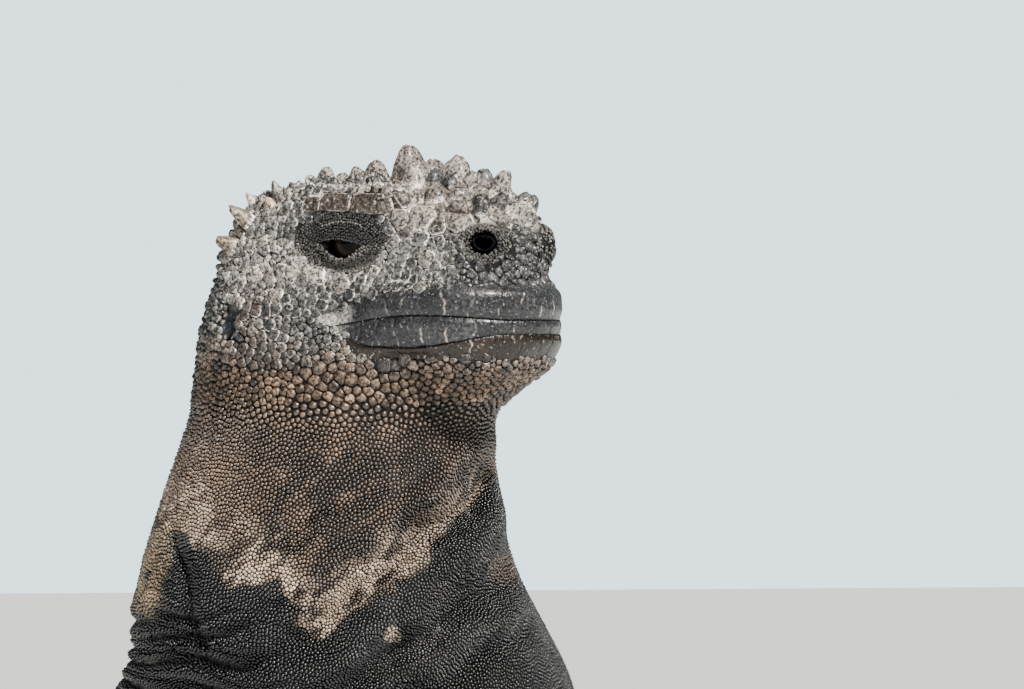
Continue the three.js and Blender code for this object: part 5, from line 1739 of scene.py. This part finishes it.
class IGUANA_OT_body_scales(bpy.types.Operator):
    """Build the beads of neck, trunk, tail, limbs and feet"""

    bl_idname = "iguana.body_scales"
    bl_label = "Body Scales"

    def execute(self, context):
        layout = scale_layout(context.scene.iguana_scales)
        far, side, up = layout["from_skull"], layout["points"][:, 1], layout["points"][:, 2]
        limb = (layout["limb"] > 0.5) & (up < LIMB_MAP_UP_TO)
        body = ~layout["head"] & ~layout["bare"]
        trunk, right = body & ~limb, side < 4
        tan = hide_material("neck beads", 0.32, 0.8, 0.4, 2200, 1600, 0.5, 0.6)
        dark = hide_material("dark beads", 0.3, 0.7, 0.35, 2200, 1500, 0.4, 0.6)
        fine, plain = [1.0, 0.66], [1.0]
        for name, chosen, shares, material, slot in (
            ("neck_beads_right_high", trunk & (far < 56) & right, fine, tan, "hide_tan"),
            ("neck_beads_right_low", trunk & (far >= 56) & (far < 84) & right, fine, tan, "hide_tan"),
            ("neck_beads_left", trunk & (far < 84) & ~right, plain, tan, "hide_tan"),
            ("chest_beads", trunk & (far >= 84) & (far < 124), plain, dark, "hide_dark"),
            ("trunk_beads", trunk & (far >= 124) & (far < 300), plain, dark, "hide_dark"),
            ("tail_beads", trunk & (far >= 300), plain, dark, "hide_dark"),
            ("limb_beads", body & limb, plain, dark, "hide_dark"),
        ):
            bead_piece(name, layout, chosen, shares, material)
        return {"FINISHED"}


def rectangle_reach(half_long, half_tall, sides, power=9.0):
    """Reach at even angles to a rounded rectangle: (|cos a / p|^n + |sin a / q|^n)^(-1/n)."""
    angle = 2 * np.pi * np.arange(sides) / sides
    along = np.abs(np.cos(angle)) / half_long[:, None]
    upright = np.abs(np.sin(angle)) / half_tall[:, None]
    return (along ** power + upright ** power) ** (-1 / power)


def brow_plates():
    """The rounded rectangular plates over both eyes, which follow the skin."""
    plates = np.repeat(BROW_PLATES, 2, axis=0)
    plates[1::2, 1] *= -1
    points = onto_skin(from_head(plates[:, :3]), 6)
    outward = outward_at(points)
    ahead = along_surface(from_head([[1, 0, 0]]) - from_head([[0, 0, 0]]), outward)
    count = len(points)
    height = 0.35
    lift = np.tile([-0.1, height * 0.8, height, height * 1.1, height * 1.2, height * 1.2], (count, 1))
    spots = dict(
        points=points, ahead=ahead, aside=np.cross(outward, ahead), outward=outward,
        reach=rectangle_reach(plates[:, 3] * 0.99, plates[:, 4], 28), sunk=np.full(count, 1.2),
        colour=np.tile(BROW_SHADE, (count, 1)), rim=np.tile(BROW_SHADE * 0.25, (count, 1)),
        salt=np.full(count, 0.9), edge=MORTAR * 0.7, edged=np.full(count, 0.8), skirt=0.05)
    horn = hide_material("brow plates", 0.45, 0.45, 0.9, 1500, 1500, 0.8)
    dome_piece("brow_plates", spots, [1.0, 0.955, 0.86, 0.6, 0.3], lift, horn)


def mouth_height(forward):
    """Height of the mouth line: level, with a low sine bow and a corner that droops by (1 - t)^3."""
    share = np.clip((forward - MOUTH["corner"]) / (MOUTH["front"] - MOUTH["corner"]), 0, 1)
    return MOUTH["level"] + MOUTH["bow"] * np.sin(np.pi * share) - MOUTH["drop"] * (1 - share) ** 3


def lip_band(form, ends, near, far, seams, generator):
    """Rings of a band along the jaw, from one end round the front to the other, and its tones.

    Across a ring, the face runs from the near edge to the far one over the skin, raised by
    1 - t^2.4, narrowed towards the corners of the mouth and cut by thin grooves at the seams
    between its plates, and the back returns under the skin. A seam leans and wavers.
    """
    face, behind = 22, 6
    angle = np.radians(np.linspace(-ends, ends, LIP_COLUMNS))
    share = np.concatenate([np.linspace(0, 1, face), np.linspace(0.96, 0.04, behind)])
    flat, way = lip_line(form, angle)
    narrow = lip_taper(np.degrees(angle))
    cells = np.cumsum(np.concatenate([[-1.0], 2.0 / seams * (1 + 0.5 * (generator.random(seams) - 0.5))]))
    cells = np.radians(ends) * (2 * (cells - cells[0]) / (cells[-1] - cells[0]) - 1)
    plate = np.clip(np.searchsorted(cells, angle) - 1, 0, seams - 1)
    swell = 0.94 + 0.06 * np.sin(np.pi * (angle - cells[plate]) / np.diff(cells)[plate])
    low = near(flat[:, 0], narrow)
    closing = np.where(np.abs(angle) > np.radians(ends - 1), 0.5, 1)
    high = low + (far(flat[:, 0]) * narrow * swell - low) * closing
    up = low[:, None] + (high - low)[:, None] * share
    places = np.stack([0 * up + flat[:, :1], 0 * up + flat[:, 1:], up], axis=-1)
    ways = np.repeat(turned_way(np.column_stack([way, 0 * angle])), len(share), axis=0)
    points = marched(from_head(places.reshape(-1, 3)), ways, skin_distance)
    lean = generator.random(seams + 1) - 0.5
    long = np.linalg.norm(np.diff(flat, axis=0), axis=1).mean() / (angle[1] - angle[0])
    apart = np.full(up.shape, FAR_AWAY)
    for seam in range(1, seams):
        bend = (share - 0.5) * lean[seam] * 0.16 + 0.011 * np.sin(share * 8 + 5 * seam)
        bend = bend + 0.006 * np.sin(share * 19 + 3 * seam)
        apart = np.minimum(apart, np.abs(angle[:, None] - cells[seam] - bend) * long)
    rise = 0.42 * (1 - share ** 2.4) * (0.6 + 0.4 * np.minimum(share * 6, 1)) - 0.06
    rise = rise * (0.4 + 0.6 * narrow)[:, None] - 0.13 * np.exp(-(apart / 0.26) ** 2)
    rise[:, face:] = -1.1
    rings = (points + rise.reshape(-1, 1) * outward_at(points)).reshape(*up.shape, 3)
    tint = (1 + 0.5 * (generator.random(seams) - 0.5))[plate]
    return rings, apart, tint[:, None], 1 - narrow[:, None], share


class IGUANA_OT_lips(bpy.types.Operator):
    """Build the bands of plates along the lips, and the plates over the eyes"""

    bl_idname = "iguana.lips"
    bl_label = "Lips and Brows"

    def execute(self, context):
        generator = np.random.default_rng(context.scene.iguana_scales.seed + 1)
        slate = hide_material("lip plates", 0.36, 0.4, 0.9, 1100, 1700, 0.65, 0.3)
        for name, form, ends, near, far, seams, shade, pale, over in (
            ("upper_lip", UPPER_LIP, LIP_END, lambda x, narrow: mouth_height(x) + 0.08, upper_reach,
             21, LIP_SLATE, 1.0, 1),
            ("lower_lip", LOWER_LIP, LIP_END, lambda x, narrow: mouth_height(x) - 0.08, lower_reach,
             21, LIP_SLATE, 0.5, -1),
            ("under_lip", LOWER_LIP, UNDER_LIP_END, lambda x, narrow: lower_reach(x) * narrow,
             lambda x: LIP_REACH[2] + 0 * x, 17, LIP_BROWN, 0.3, -1),
        ):
            rings, apart, tint, end, share = lip_band(form, ends, near, far, seams, generator)
            worn, patch, broad = grain(rings, 2.4, 51), grain(rings, 7.0, 52), grain(rings, 11.0, 53)
            line = np.exp(-(apart / 0.15) ** 2)
            cream = line * smooth_step(worn - 0.3 * (share - 0.5) * over, 0.5, 0.74)
            cream = cream * smooth_step(broad, 0.25, 0.5)
            tone = painted(
                shade * (tint * (0.3 + 0.8 * patch + 0.6 * worn))[..., None],
                (EDGE_PALE * 0.45, pale * smooth_step(end, 0.15, 0.6) * smooth_step(worn, 0.2, 0.6)),
                (HEAD_SLATE * 0.8, 0.6 * smooth_step(share, 0.8, 1.0) * (over > 0)),
                (shade * 0.15, 0.9 * line),
                (MORTAR * 0.75, 0.9 * cream),
                (shade * 0.1, np.exp(-(share / 0.04) ** 2)),
            )
            band, vertices = tube_piece(name, [capped_tube(rings[:, ::over])], slate)
            tone = tone[:, ::over].reshape(-1, 3)
            set_colour(band, np.concatenate([tone, tone[[0, -1]]]), 0.3)
            set_bake_map(band, surface_places(vertices))
        brow_plates()
        return {"FINISHED"}


def lip_line(form, angle):
    """Places outside a lip and the way out there, in plan, at angles round it from the front.

    In front the line is the lip's ellipse with its normal, and behind its widest place it runs
    straight back at that width, with the way out square to it.
    """
    long, wide = form["radii"]
    behind = np.abs(angle) > np.pi / 2
    way = unit(np.stack([np.cos(angle) / long, np.sin(angle) / wide], axis=1))
    way[behind] = np.stack([0 * angle, np.sign(angle)], axis=1)[behind]
    line = np.stack([form["forward"] + long * np.cos(angle), wide * np.sin(angle)], axis=1)
    line[behind, 1] = (wide * np.sign(angle))[behind]
    return line + 3 * way, way


class IGUANA_OT_nostrils(bpy.types.Operator):
    """Build the cups of the nostrils"""

    bl_idname = "iguana.nostrils"
    bl_label = "Nostrils"

    def execute(self, context):
        """A profile turned round the aim: centre + d aim + q (a cos t across + b sin t over)."""
        aim, across, over = nostril_axes()
        centre = NOSTRIL_CENTRE
        for _ in range(8):
            centre = centre - aim * (head_distance(centre[None])[0] + SKIN_DEPTH)
        share, out = np.transpose(NOSTRIL_CUP)[:, :, None, None]
        angle = np.linspace(0, 2 * np.pi, 40, endpoint=False)[None, :, None]
        wobble = 1 + 0.07 * np.sin(2 * angle + 1) + 0.05 * np.sin(3 * angle) + 0.02 * np.sin(7 * angle)
        spread = NOSTRIL_HALF[0] * np.cos(angle) * across + NOSTRIL_HALF[1] * np.sin(angle) * over
        rings = centre + out * aim + share * spread * wobble
        slate = hide_material("nostril skin", 0.9, 0.05, 0.5, 2400, 1500)
        tubes = [head_tube(rings[:, ::-side] * [1, side, 1]) for side in (1, -1)]
        cups, vertices = tube_piece("nostrils", tubes, slate)
        # The inside of each cup darkens with depth towards black: painted shade in the nostril hole
        inside = smooth_step(-out.ravel(), -0.3, 1.2) * (np.arange(len(out)) > 5)
        inside = np.concatenate([np.repeat(inside, rings.shape[1]), inside[[0, -1]]])
        rim = mix(BLACK_HIDE * 0.4, HEAD_SLATE * 0.3, 0.5 * grain(vertices, 0.9, 41))
        set_colour(cups, mix(rim, BLACK_HIDE * 0.12, np.tile(inside, 2)), 0.1)
        return {"FINISHED"}


def slit_edge(x, upper):
    """Height of a lid's edge over the eye: a line between the corners, bowed by 1 - t^2."""
    (x0, y0), (x1, y1) = SLIT["back"], SLIT["front"]
    share = np.clip((x - x0) / (x1 - x0), 0, 1)
    bow = 1 - (2 * share - 1) ** 2
    return y0 + (y1 - y0) * share + (SLIT["over"] if upper else SLIT["under"]) * bow


def lid_depth(x, y):
    """How far out the lids' ellipsoid lies: c (1 - (x/a)^2 - (y/b)^2)^0.5."""
    level = (x / LID_RADII[0]) ** 2 + (y / LID_RADII[2]) ** 2
    return LID_RADII[1] * np.sqrt(np.clip(1 - level, 0, 1))


def lid_shape(side, upper, columns, rows):
    """A lid as a closed tube of columns: over its face from the skin to the edge, then back.

    The face follows the lids' ellipsoid and rises in fine creases, the edge is rounded, and the
    back follows a ball just clear of the eye.
    """
    x = np.linspace(-0.95, 0.95, columns)[:, None] * LID_RADII[0]
    border = LID_RADII[2] * np.sqrt(np.clip(1 - (x / LID_RADII[0]) ** 2, 0, 1)) * 0.97
    sign = 1 if upper else -1
    edge = np.clip(slit_edge(x, upper), -border, border)
    share = np.linspace(0, 1, rows)
    y = sign * border * (1 - share) + edge * share
    crease = 0.16 * np.sin((1 - share) * 26) * (1 - share)
    face = np.stack([x + 0 * y, y, lid_depth(x, y) + crease - 0.15], axis=-1)
    share = share[::-1][:rows // 2 * 2:2]
    y = sign * border * (1 - share) * 0.8 + edge * (1 - (1 - share) * 0.8)
    ball = np.sqrt(np.clip((EYE_RADIUS + 0.12) ** 2 - x ** 2 - y ** 2, 1.0, None))
    back = np.stack([x + 0 * y, y, np.minimum(ball, lid_depth(x, y) - 0.5)], axis=-1)
    forward, up, out = np.moveaxis(np.concatenate([face, back], axis=1), -1, 0)
    middle_forward, middle_out, middle_up = LID_CENTRE
    h = np.stack([middle_forward + forward, side * (middle_out + out), middle_up + up], axis=-1)
    return head_tube(h[:, ::-1] if (side > 0) == upper else h)


def lid_surface(points):
    """Distance to the skin with the lids' swellings joined to it."""
    lids = dict(centre=LID_CENTRE, radii=LID_RADII, power=2)
    return smooth_min(skin_distance(points), ellipsoid_distance(half_head(points), lids), 1.2)


def round_rows(inner, outer, rows, gap, generator):
    """Places of beads in closed rows round an opening, with each bead's row and angle.

    A row at share t is the curve (1 - t) inner(a) + t outer(a), with beads evenly along it.
    """
    turn = np.linspace(0, 2 * np.pi, 721)
    beads = []
    for row in range(rows):
        share = (row + 0.4) / rows
        curve = (1 - share) * inner(turn) + share * outer(turn)
        long = np.concatenate([[0], np.cumsum(np.linalg.norm(np.diff(curve, axis=0), axis=1))])
        count = int(long[-1] / gap)
        steps = np.arange(count) + 0.5 * (row % 2) + 0.3 * (generator.random(count) - 0.5)
        spots = steps / count * long[-1]
        stray = 0.3 * (generator.random((count, 2)) - 0.5)
        places = stray + np.stack([np.interp(spots, long, part) for part in curve.T], axis=1)
        beads.append((places, np.full(count, row), np.interp(spots, long, turn)))
    return [np.concatenate(group) for group in zip(*beads)]


def slit_curve(turn):
    """The slit between the lids at angles round it."""
    x = (SLIT["front"][0] - SLIT["back"][0]) / 2 * np.cos(turn)
    y = np.where(np.sin(turn) > 0, slit_edge(x, True), slit_edge(x, False))
    return np.stack([x, y], axis=1)


def oval(half_long, half_tall, raised=1.0):
    """A curve of angle: (p cos a, q sin a), with its upper half raised."""
    def curve(turn):
        tall = half_tall * np.where(np.sin(turn) > 0, raised, 1.0)
        return np.stack([half_long * np.cos(turn), tall * np.sin(turn)], axis=1)
    return curve


def lid_beads(side, generator):
    """Places, sizes and tones of the beads round an eye, from the slit to the orbit's rim."""
    places, row, turn = round_rows(slit_curve, oval(*LID_PATCH, 1.16), LID_ROWS, 0.58, generator)
    x, y = places.T
    upper = np.sin(turn) > 0
    h = np.stack([LID_CENTRE[0] + x, np.full(len(x), side * 22), LID_CENTRE[2] + y], axis=1)
    size = 0.28 * (0.8 + 0.4 * generator.random(len(x))) * np.where(upper & (row < 7), 0.85, 1.0)
    size = size + 0.012 * row
    light = np.where(upper, 0.06 + 0.05 * (row == 0), np.where(row < 4, 0.42 - 0.08 * row, 0.09))
    crease = upper & (row == 6) & (np.abs(np.cos(turn)) < 0.6)
    light = light + 0.45 * smooth_step(row, 8, LID_ROWS) * ~upper + 0.3 * crease
    way = np.tile([0.0, side, 0.0], (len(x), 1))
    return h, way, size, light * (0.4 + 1.2 * generator.random(len(x)))


def nostril_beads(side, generator):
    """Places, sizes and tones of the beads in rows round a nostril."""
    aim, across, over = nostril_axes()
    outer = oval(*np.multiply(NOSTRIL_HALF, NOSTRIL_RINGS + 0.15))
    places, row, _ = round_rows(oval(*NOSTRIL_HALF), outer, NOSTRIL_ROWS, 0.62, generator)
    h = NOSTRIL_CENTRE + 3 * aim + places[:, :1] * across + places[:, 1:] * over
    size = (0.27 + 0.03 * row) * (0.85 + 0.3 * generator.random(len(row)))
    way = np.tile(aim * [1, side, 1], (len(row), 1))
    return h * [1, side, 1], way, size, (0.02 + 0.035 * row) * (0.3 + 1.4 * generator.random(len(row)))


class IGUANA_OT_eyes(bpy.types.Operator):
    """Build the eyes and their lids"""

    bl_idname = "iguana.eyes"
    bl_label = "Eyes"

    def execute(self, context):
        generator = np.random.default_rng(context.scene.iguana_scales.seed + 2)
        glass = hide_material("eye", 0.06, 0.1, 0.0, 1000, 1000)
        skin = hide_material("lid skin", 0.4, 0.45, 0.5, 2600, 1500)
        tubes, beads = [], []
        for side, name in ((1, "eye_left"), (-1, "eye_right")):
            self.build_eye(side, name, glass)
            tubes += [lid_shape(side, upper, 60, 26) for upper in (True, False)]
            beads.append(lid_beads(side, generator))
            beads.append(nostril_beads(side, generator))
        lids, vertices = tube_piece("eye_lids", tubes, skin)
        shade = smooth_step(grain(vertices, 1.2, 21), 0.45, 0.8)
        off = (half_head(vertices) - LID_CENTRE) / LID_RADII
        rim = smooth_step(np.hypot(off[:, 0], off[:, 2]), 0.75, 1.0)
        set_colour(lids, mix(LID_BLACK, LID_GREY, 0.35 * shade + 0.6 * rim), 0.1)
        places, ways, size, light = (np.concatenate(group) for group in zip(*beads))
        points = marched(from_head(places), turned_way(ways), lid_surface)
        outward = outward_at(points, lid_surface)
        along = unit(np.cross(UP, outward))
        count = len(points)
        spots = dict(
            points=points, ahead=along, aside=np.cross(outward, along), outward=outward,
            reach=np.repeat(size[:, None], 8, axis=1), sunk=size, salt=np.zeros(count),
            colour=mix(LID_BLACK * 0.9, LID_PALE, light), rim=np.tile(LID_BLACK * 0.6, (count, 1)))
        lift = np.stack([0 * size - 0.05, size * 0.55, size * 0.8], axis=1)
        dome_piece("lid_beads", spots, [1.0, 0.7], lift, skin)
        return {"FINISHED"}

    def build_eye(self, side, name, glass):
        """A ball of rings round the way it looks: r (cos v gaze + sin v (cos u, sin u))."""
        gaze = unit(np.array([0.12, side, -0.04]))
        across = unit(np.cross(UP, gaze))
        over = np.cross(gaze, across)
        v = np.linspace(0.03, np.pi - 0.03, 44)[:, None, None]
        u = np.linspace(0, 2 * np.pi, 48, endpoint=False)[None, :, None]
        ball = np.cos(v) * gaze + np.sin(v) * (np.cos(u) * across + np.sin(u) * over)
        centre = eye_middle(side)
        tube = head_tube(centre + EYE_RADIUS * ball)
        eye, vertices = tube_piece(name + "_ball", [tube], glass)
        h = to_head(vertices) - centre
        off_axis = np.arccos(np.clip(h @ gaze / EYE_RADIUS, -1, 1)) * EYE_RADIUS
        angle = np.arctan2(h @ over, h @ across)
        streaks = 0.5 + 0.5 * np.sin(angle * 31 + 3 * np.sin(angle * 7))
        tone = painted(
            mix(IRIS_BROWN, IRIS_EDGE, 0.5 * streaks),
            (IRIS_EDGE * 0.4, smooth_step(off_axis, 3.0, 3.9)),
            (PUPIL_BLACK, 1 - smooth_step(off_axis, 1.35, 1.6)),
        )
        set_colour(eye, tone, 0.0)
        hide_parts(name)


def crest_line(step):
    """Roots of the crest at even steps: down the back of the head, then along the spine."""
    climb = np.radians(np.linspace(128, 205, 60))
    nape = from_head(np.stack([-2 + 24 * np.cos(climb), 0 * climb, 8 + 22 * np.sin(climb)], axis=1))
    below = SPINE_FRAMES["along"] < SPINE_LENGTH - 36
    clear = below & (SPINE_FRAMES["along"] > TAIL_CLEAR)
    top = SPINE_FRAMES["centre"] + SPINE_FRAMES["over"] * SPINE_FRAMES["sizes"][:, 1:2]
    line = onto_skin(np.concatenate([nape, top[clear][::-1]]), 5)
    long = np.concatenate([[0], np.cumsum(np.linalg.norm(np.diff(line, axis=0), axis=1))])
    places = np.arange(0, long[-1], step)
    points = np.stack([np.interp(places, long, part) for part in line.T], axis=1)
    return onto_skin(points, 3), -unit(np.gradient(points, axis=0)), places / long[-1]


class IGUANA_OT_crest(bpy.types.Operator):
    """Build the crest of spines from nape to tail tip"""

    bl_idname = "iguana.crest"
    bl_label = "Crest"

    def execute(self, context):
        settings = context.scene.iguana_crest
        generator = np.random.default_rng(context.scene.iguana_scales.seed + 3)
        points, ahead, share = crest_line(settings.spacing / MILLIMETRE)
        count = len(points)
        outward = outward_at(points)
        ahead = along_surface(ahead, outward)
        nape, tail = settings.nape / MILLIMETRE, settings.tail / MILLIMETRE
        tall = nape + (tail - nape) * smooth_step(share, 0.35, 0.6)
        tall = tall * (1 - 0.5 * smooth_step(share, 0.9, 1.0)) * (0.85 + 0.3 * generator.random(count))
        angle = 2 * np.pi * np.arange(10) / 10
        oval_reach = 1 / np.hypot(np.cos(angle) / 1.35, np.sin(angle) / 0.75)
        reach = oval_reach * (0.9 + 0.2 * generator.random(count))[:, None]
        colour, between, salt = markings(points, outward)
        # Each spine's rim takes the colour between scales, which holds painted shade in the gaps
        spots = dict(
            points=points, ahead=ahead, aside=np.cross(outward, ahead), outward=outward, reach=reach,
            sunk=np.full(count, 1.0), rim=between, salt=salt,
            colour=mix(colour, GREY_HIDE, 0.4) * (0.7 + 0.6 * generator.random((count, 1))))
        lift = np.stack([0 * tall - 0.3, tall * 0.35, tall * 0.72, tall], axis=1)
        horn = hide_material("crest spines", 0.5, 0.4, 0.5, 2000, 1500)
        dome_piece("crest_spines", spots, [1.0, 0.8, 0.42], lift, horn, 0.35)
        return {"FINISHED"}


class IGUANA_OT_claws(bpy.types.Operator):
    """Build the claws"""

    bl_idname = "iguana.claws"
    bl_label = "Claws"

    def execute(self, context):
        horn = hide_material("claws", 0.35, 0.5, 0.3, 1500, 1500)
        for name, foot in FEET.items():
            claws = foot_lines(foot)[2]
            tubes = [capped_tube(tube_rings(line_frames(stations, 14), 12)) for stations in claws]
            piece, vertices = tube_piece("claws_" + name, tubes, horn)
            set_colour(piece, mix(CLAW_DARK, LIP_BROWN, 0.5 * grain(vertices, 2.5, 31)), 0.0)
            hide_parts(*[f"claw_{name}_{index + 1}" for index in range(len(claws))])
        return {"FINISHED"}


class IGUANA_OT_stage(bpy.types.Operator):
    """Build the floor, the light and the camera"""

    bl_idname = "iguana.stage"
    bl_label = "Stage"

    def execute(self, context):
        settings = context.scene.iguana_stage
        across = np.array([math.cos(settings.azimuth), math.sin(settings.azimuth), 0])
        toward = np.array([math.sin(settings.azimuth), -math.cos(settings.azimuth), 0])
        depth = float((from_head([CAMERA_TARGET])[0] * MILLIMETRE) @ toward)
        aim = MODEL_OFFSET * MILLIMETRE + across * settings.aim_across + toward * depth
        aim[2] = settings.aim_up
        target, side, front, up = Vector(aim), Vector(across), Vector(toward), Vector(UP)
        self.build_floor(settings)
        self.build_world(settings)
        key = bpy.data.lights.new("key", "SUN")
        key.energy = settings.key
        key.angle = settings.softness
        key.color = KEY_COLOUR
        placed("key", key, (0, 0, 0), side * 0.55 + front * 0.8 + up * 1.05)
        fill = bpy.data.lights.new("fill", "AREA")
        fill.energy = settings.fill
        fill.size = FILL_SIZE
        fill.color = FILL_COLOUR
        offset = side * -1.1 + front * 1.2 + up * 0.4
        placed("fill", fill, target + offset, offset)
        camera = bpy.data.cameras.new("camera")
        camera.sensor_width = 36
        camera.lens = camera.sensor_width * settings.distance / settings.frame_width
        camera.clip_end = 100
        context.scene.camera = placed("camera", camera, target + front * settings.distance, front)
        return {"FINISHED"}

    def build_world(self, settings):
        """A pale room: bright where the camera sees it, dimmer as light."""
        world = bpy.data.worlds.new("studio")
        world.use_nodes = True
        tree = world.node_tree
        light = tree.nodes["Background"]
        light.inputs["Color"].default_value = (*[0.5 * part + 0.4 for part in settings.backdrop], 1)
        light.inputs["Strength"].default_value = settings.room
        backdrop = {"Color": (*settings.backdrop, 1), "Strength": settings.seen}
        seen = add_node(tree, "Background", backdrop, {})["Background"]
        rays = add_node(tree, "LightPath", {}, {})["Is Camera Ray"]
        either = add_node(tree, "MixShader", {}, {"Fac": rays, 1: light.outputs["Background"], 2: seen})
        tree.links.new(either["Shader"], tree.nodes["World Output"].inputs["Surface"])
        bpy.context.scene.world = world

    def build_floor(self, settings):
        """A wide square under the animal."""
        corners = [(-1, -1, 0), (1, -1, 0), (1, 1, 0), (-1, 1, 0)]
        mesh = bpy.data.meshes.new("floor")
        mesh.from_pydata(np.array(corners) * FLOOR_HALF, [], [(0, 1, 2, 3)])
        material = bpy.data.materials.new("pale floor")
        material.use_nodes = True
        tree = material.node_tree
        place = add_node(tree, "TexCoord", {}, {})["Object"]
        cloud = add_node(tree, "TexNoise", {"Scale": 3}, {"Vector": place})["Fac"]
        tones = {"A": (*[0.96 * part for part in settings.floor], 1), "B": (*settings.floor, 1)}
        levels = add_node(tree, "Mix", tones, {"Factor": cloud}, data_type="RGBA")
        shader = tree.nodes["Principled BSDF"]
        shader.inputs["Roughness"].default_value = 0.9
        tree.links.new(levels["Result"], shader.inputs["Base Color"])
        mesh.materials.append(material)
        floor = bpy.data.objects.new("floor", mesh)
        bpy.context.scene.collection.objects.link(floor)


class IGUANA_PT_panel(bpy.types.Panel):
    """The steps of the model in the sidebar"""

    bl_idname = "IGUANA_PT_panel"
    bl_label = "Marine Iguana"
    bl_space_type = "VIEW_3D"
    bl_region_type = "UI"
    bl_category = "Iguana"

    def draw(self, context):
        scene = context.scene
        for group in ("skin", "scales", "crest", "stage"):
            settings = getattr(scene, "iguana_" + group)
            box = self.layout.box()
            for name in settings.bl_rna.properties.keys():
                if name not in ("rna_type", "name"):
                    box.prop(settings, name)
        for step in STEPS:
            self.layout.operator(step.bl_idname)


STEPS = (
    IGUANA_OT_skin,
    IGUANA_OT_head_scales,
    IGUANA_OT_body_scales,
    IGUANA_OT_lips,
    IGUANA_OT_nostrils,
    IGUANA_OT_eyes,
    IGUANA_OT_crest,
    IGUANA_OT_claws,
    IGUANA_OT_stage,
)
SETTINGS = {
    "iguana_skin": IguanaSkinSettings,
    "iguana_scales": IguanaScaleSettings,
    "iguana_crest": IguanaCrestSettings,
    "iguana_stage": IguanaStageSettings,
}


def register():
    """Register settings, steps and panel."""
    for name, group in SETTINGS.items():
        bpy.utils.register_class(group)
        setattr(bpy.types.Scene, name, bpy.props.PointerProperty(type=group))
    for step in (*STEPS, IGUANA_PT_panel):
        bpy.utils.register_class(step)


def unregister():
    """Undo register."""
    for step in (IGUANA_PT_panel, *reversed(STEPS)):
        bpy.utils.unregister_class(step)
    for name, group in SETTINGS.items():
        delattr(bpy.types.Scene, name)
        bpy.utils.unregister_class(group)


def main():
    """Build the whole model."""
    global MODEL_OFFSET
    MODEL_OFFSET = model_offset()
    register()
    bpy.ops.iguana.skin()
    bpy.ops.iguana.head_scales()
    bpy.ops.iguana.body_scales()
    bpy.ops.iguana.lips()
    bpy.ops.iguana.nostrils()
    bpy.ops.iguana.eyes()
    bpy.ops.iguana.crest()
    bpy.ops.iguana.claws()
    bpy.ops.iguana.stage()


if __name__ == "__main__":
    main()
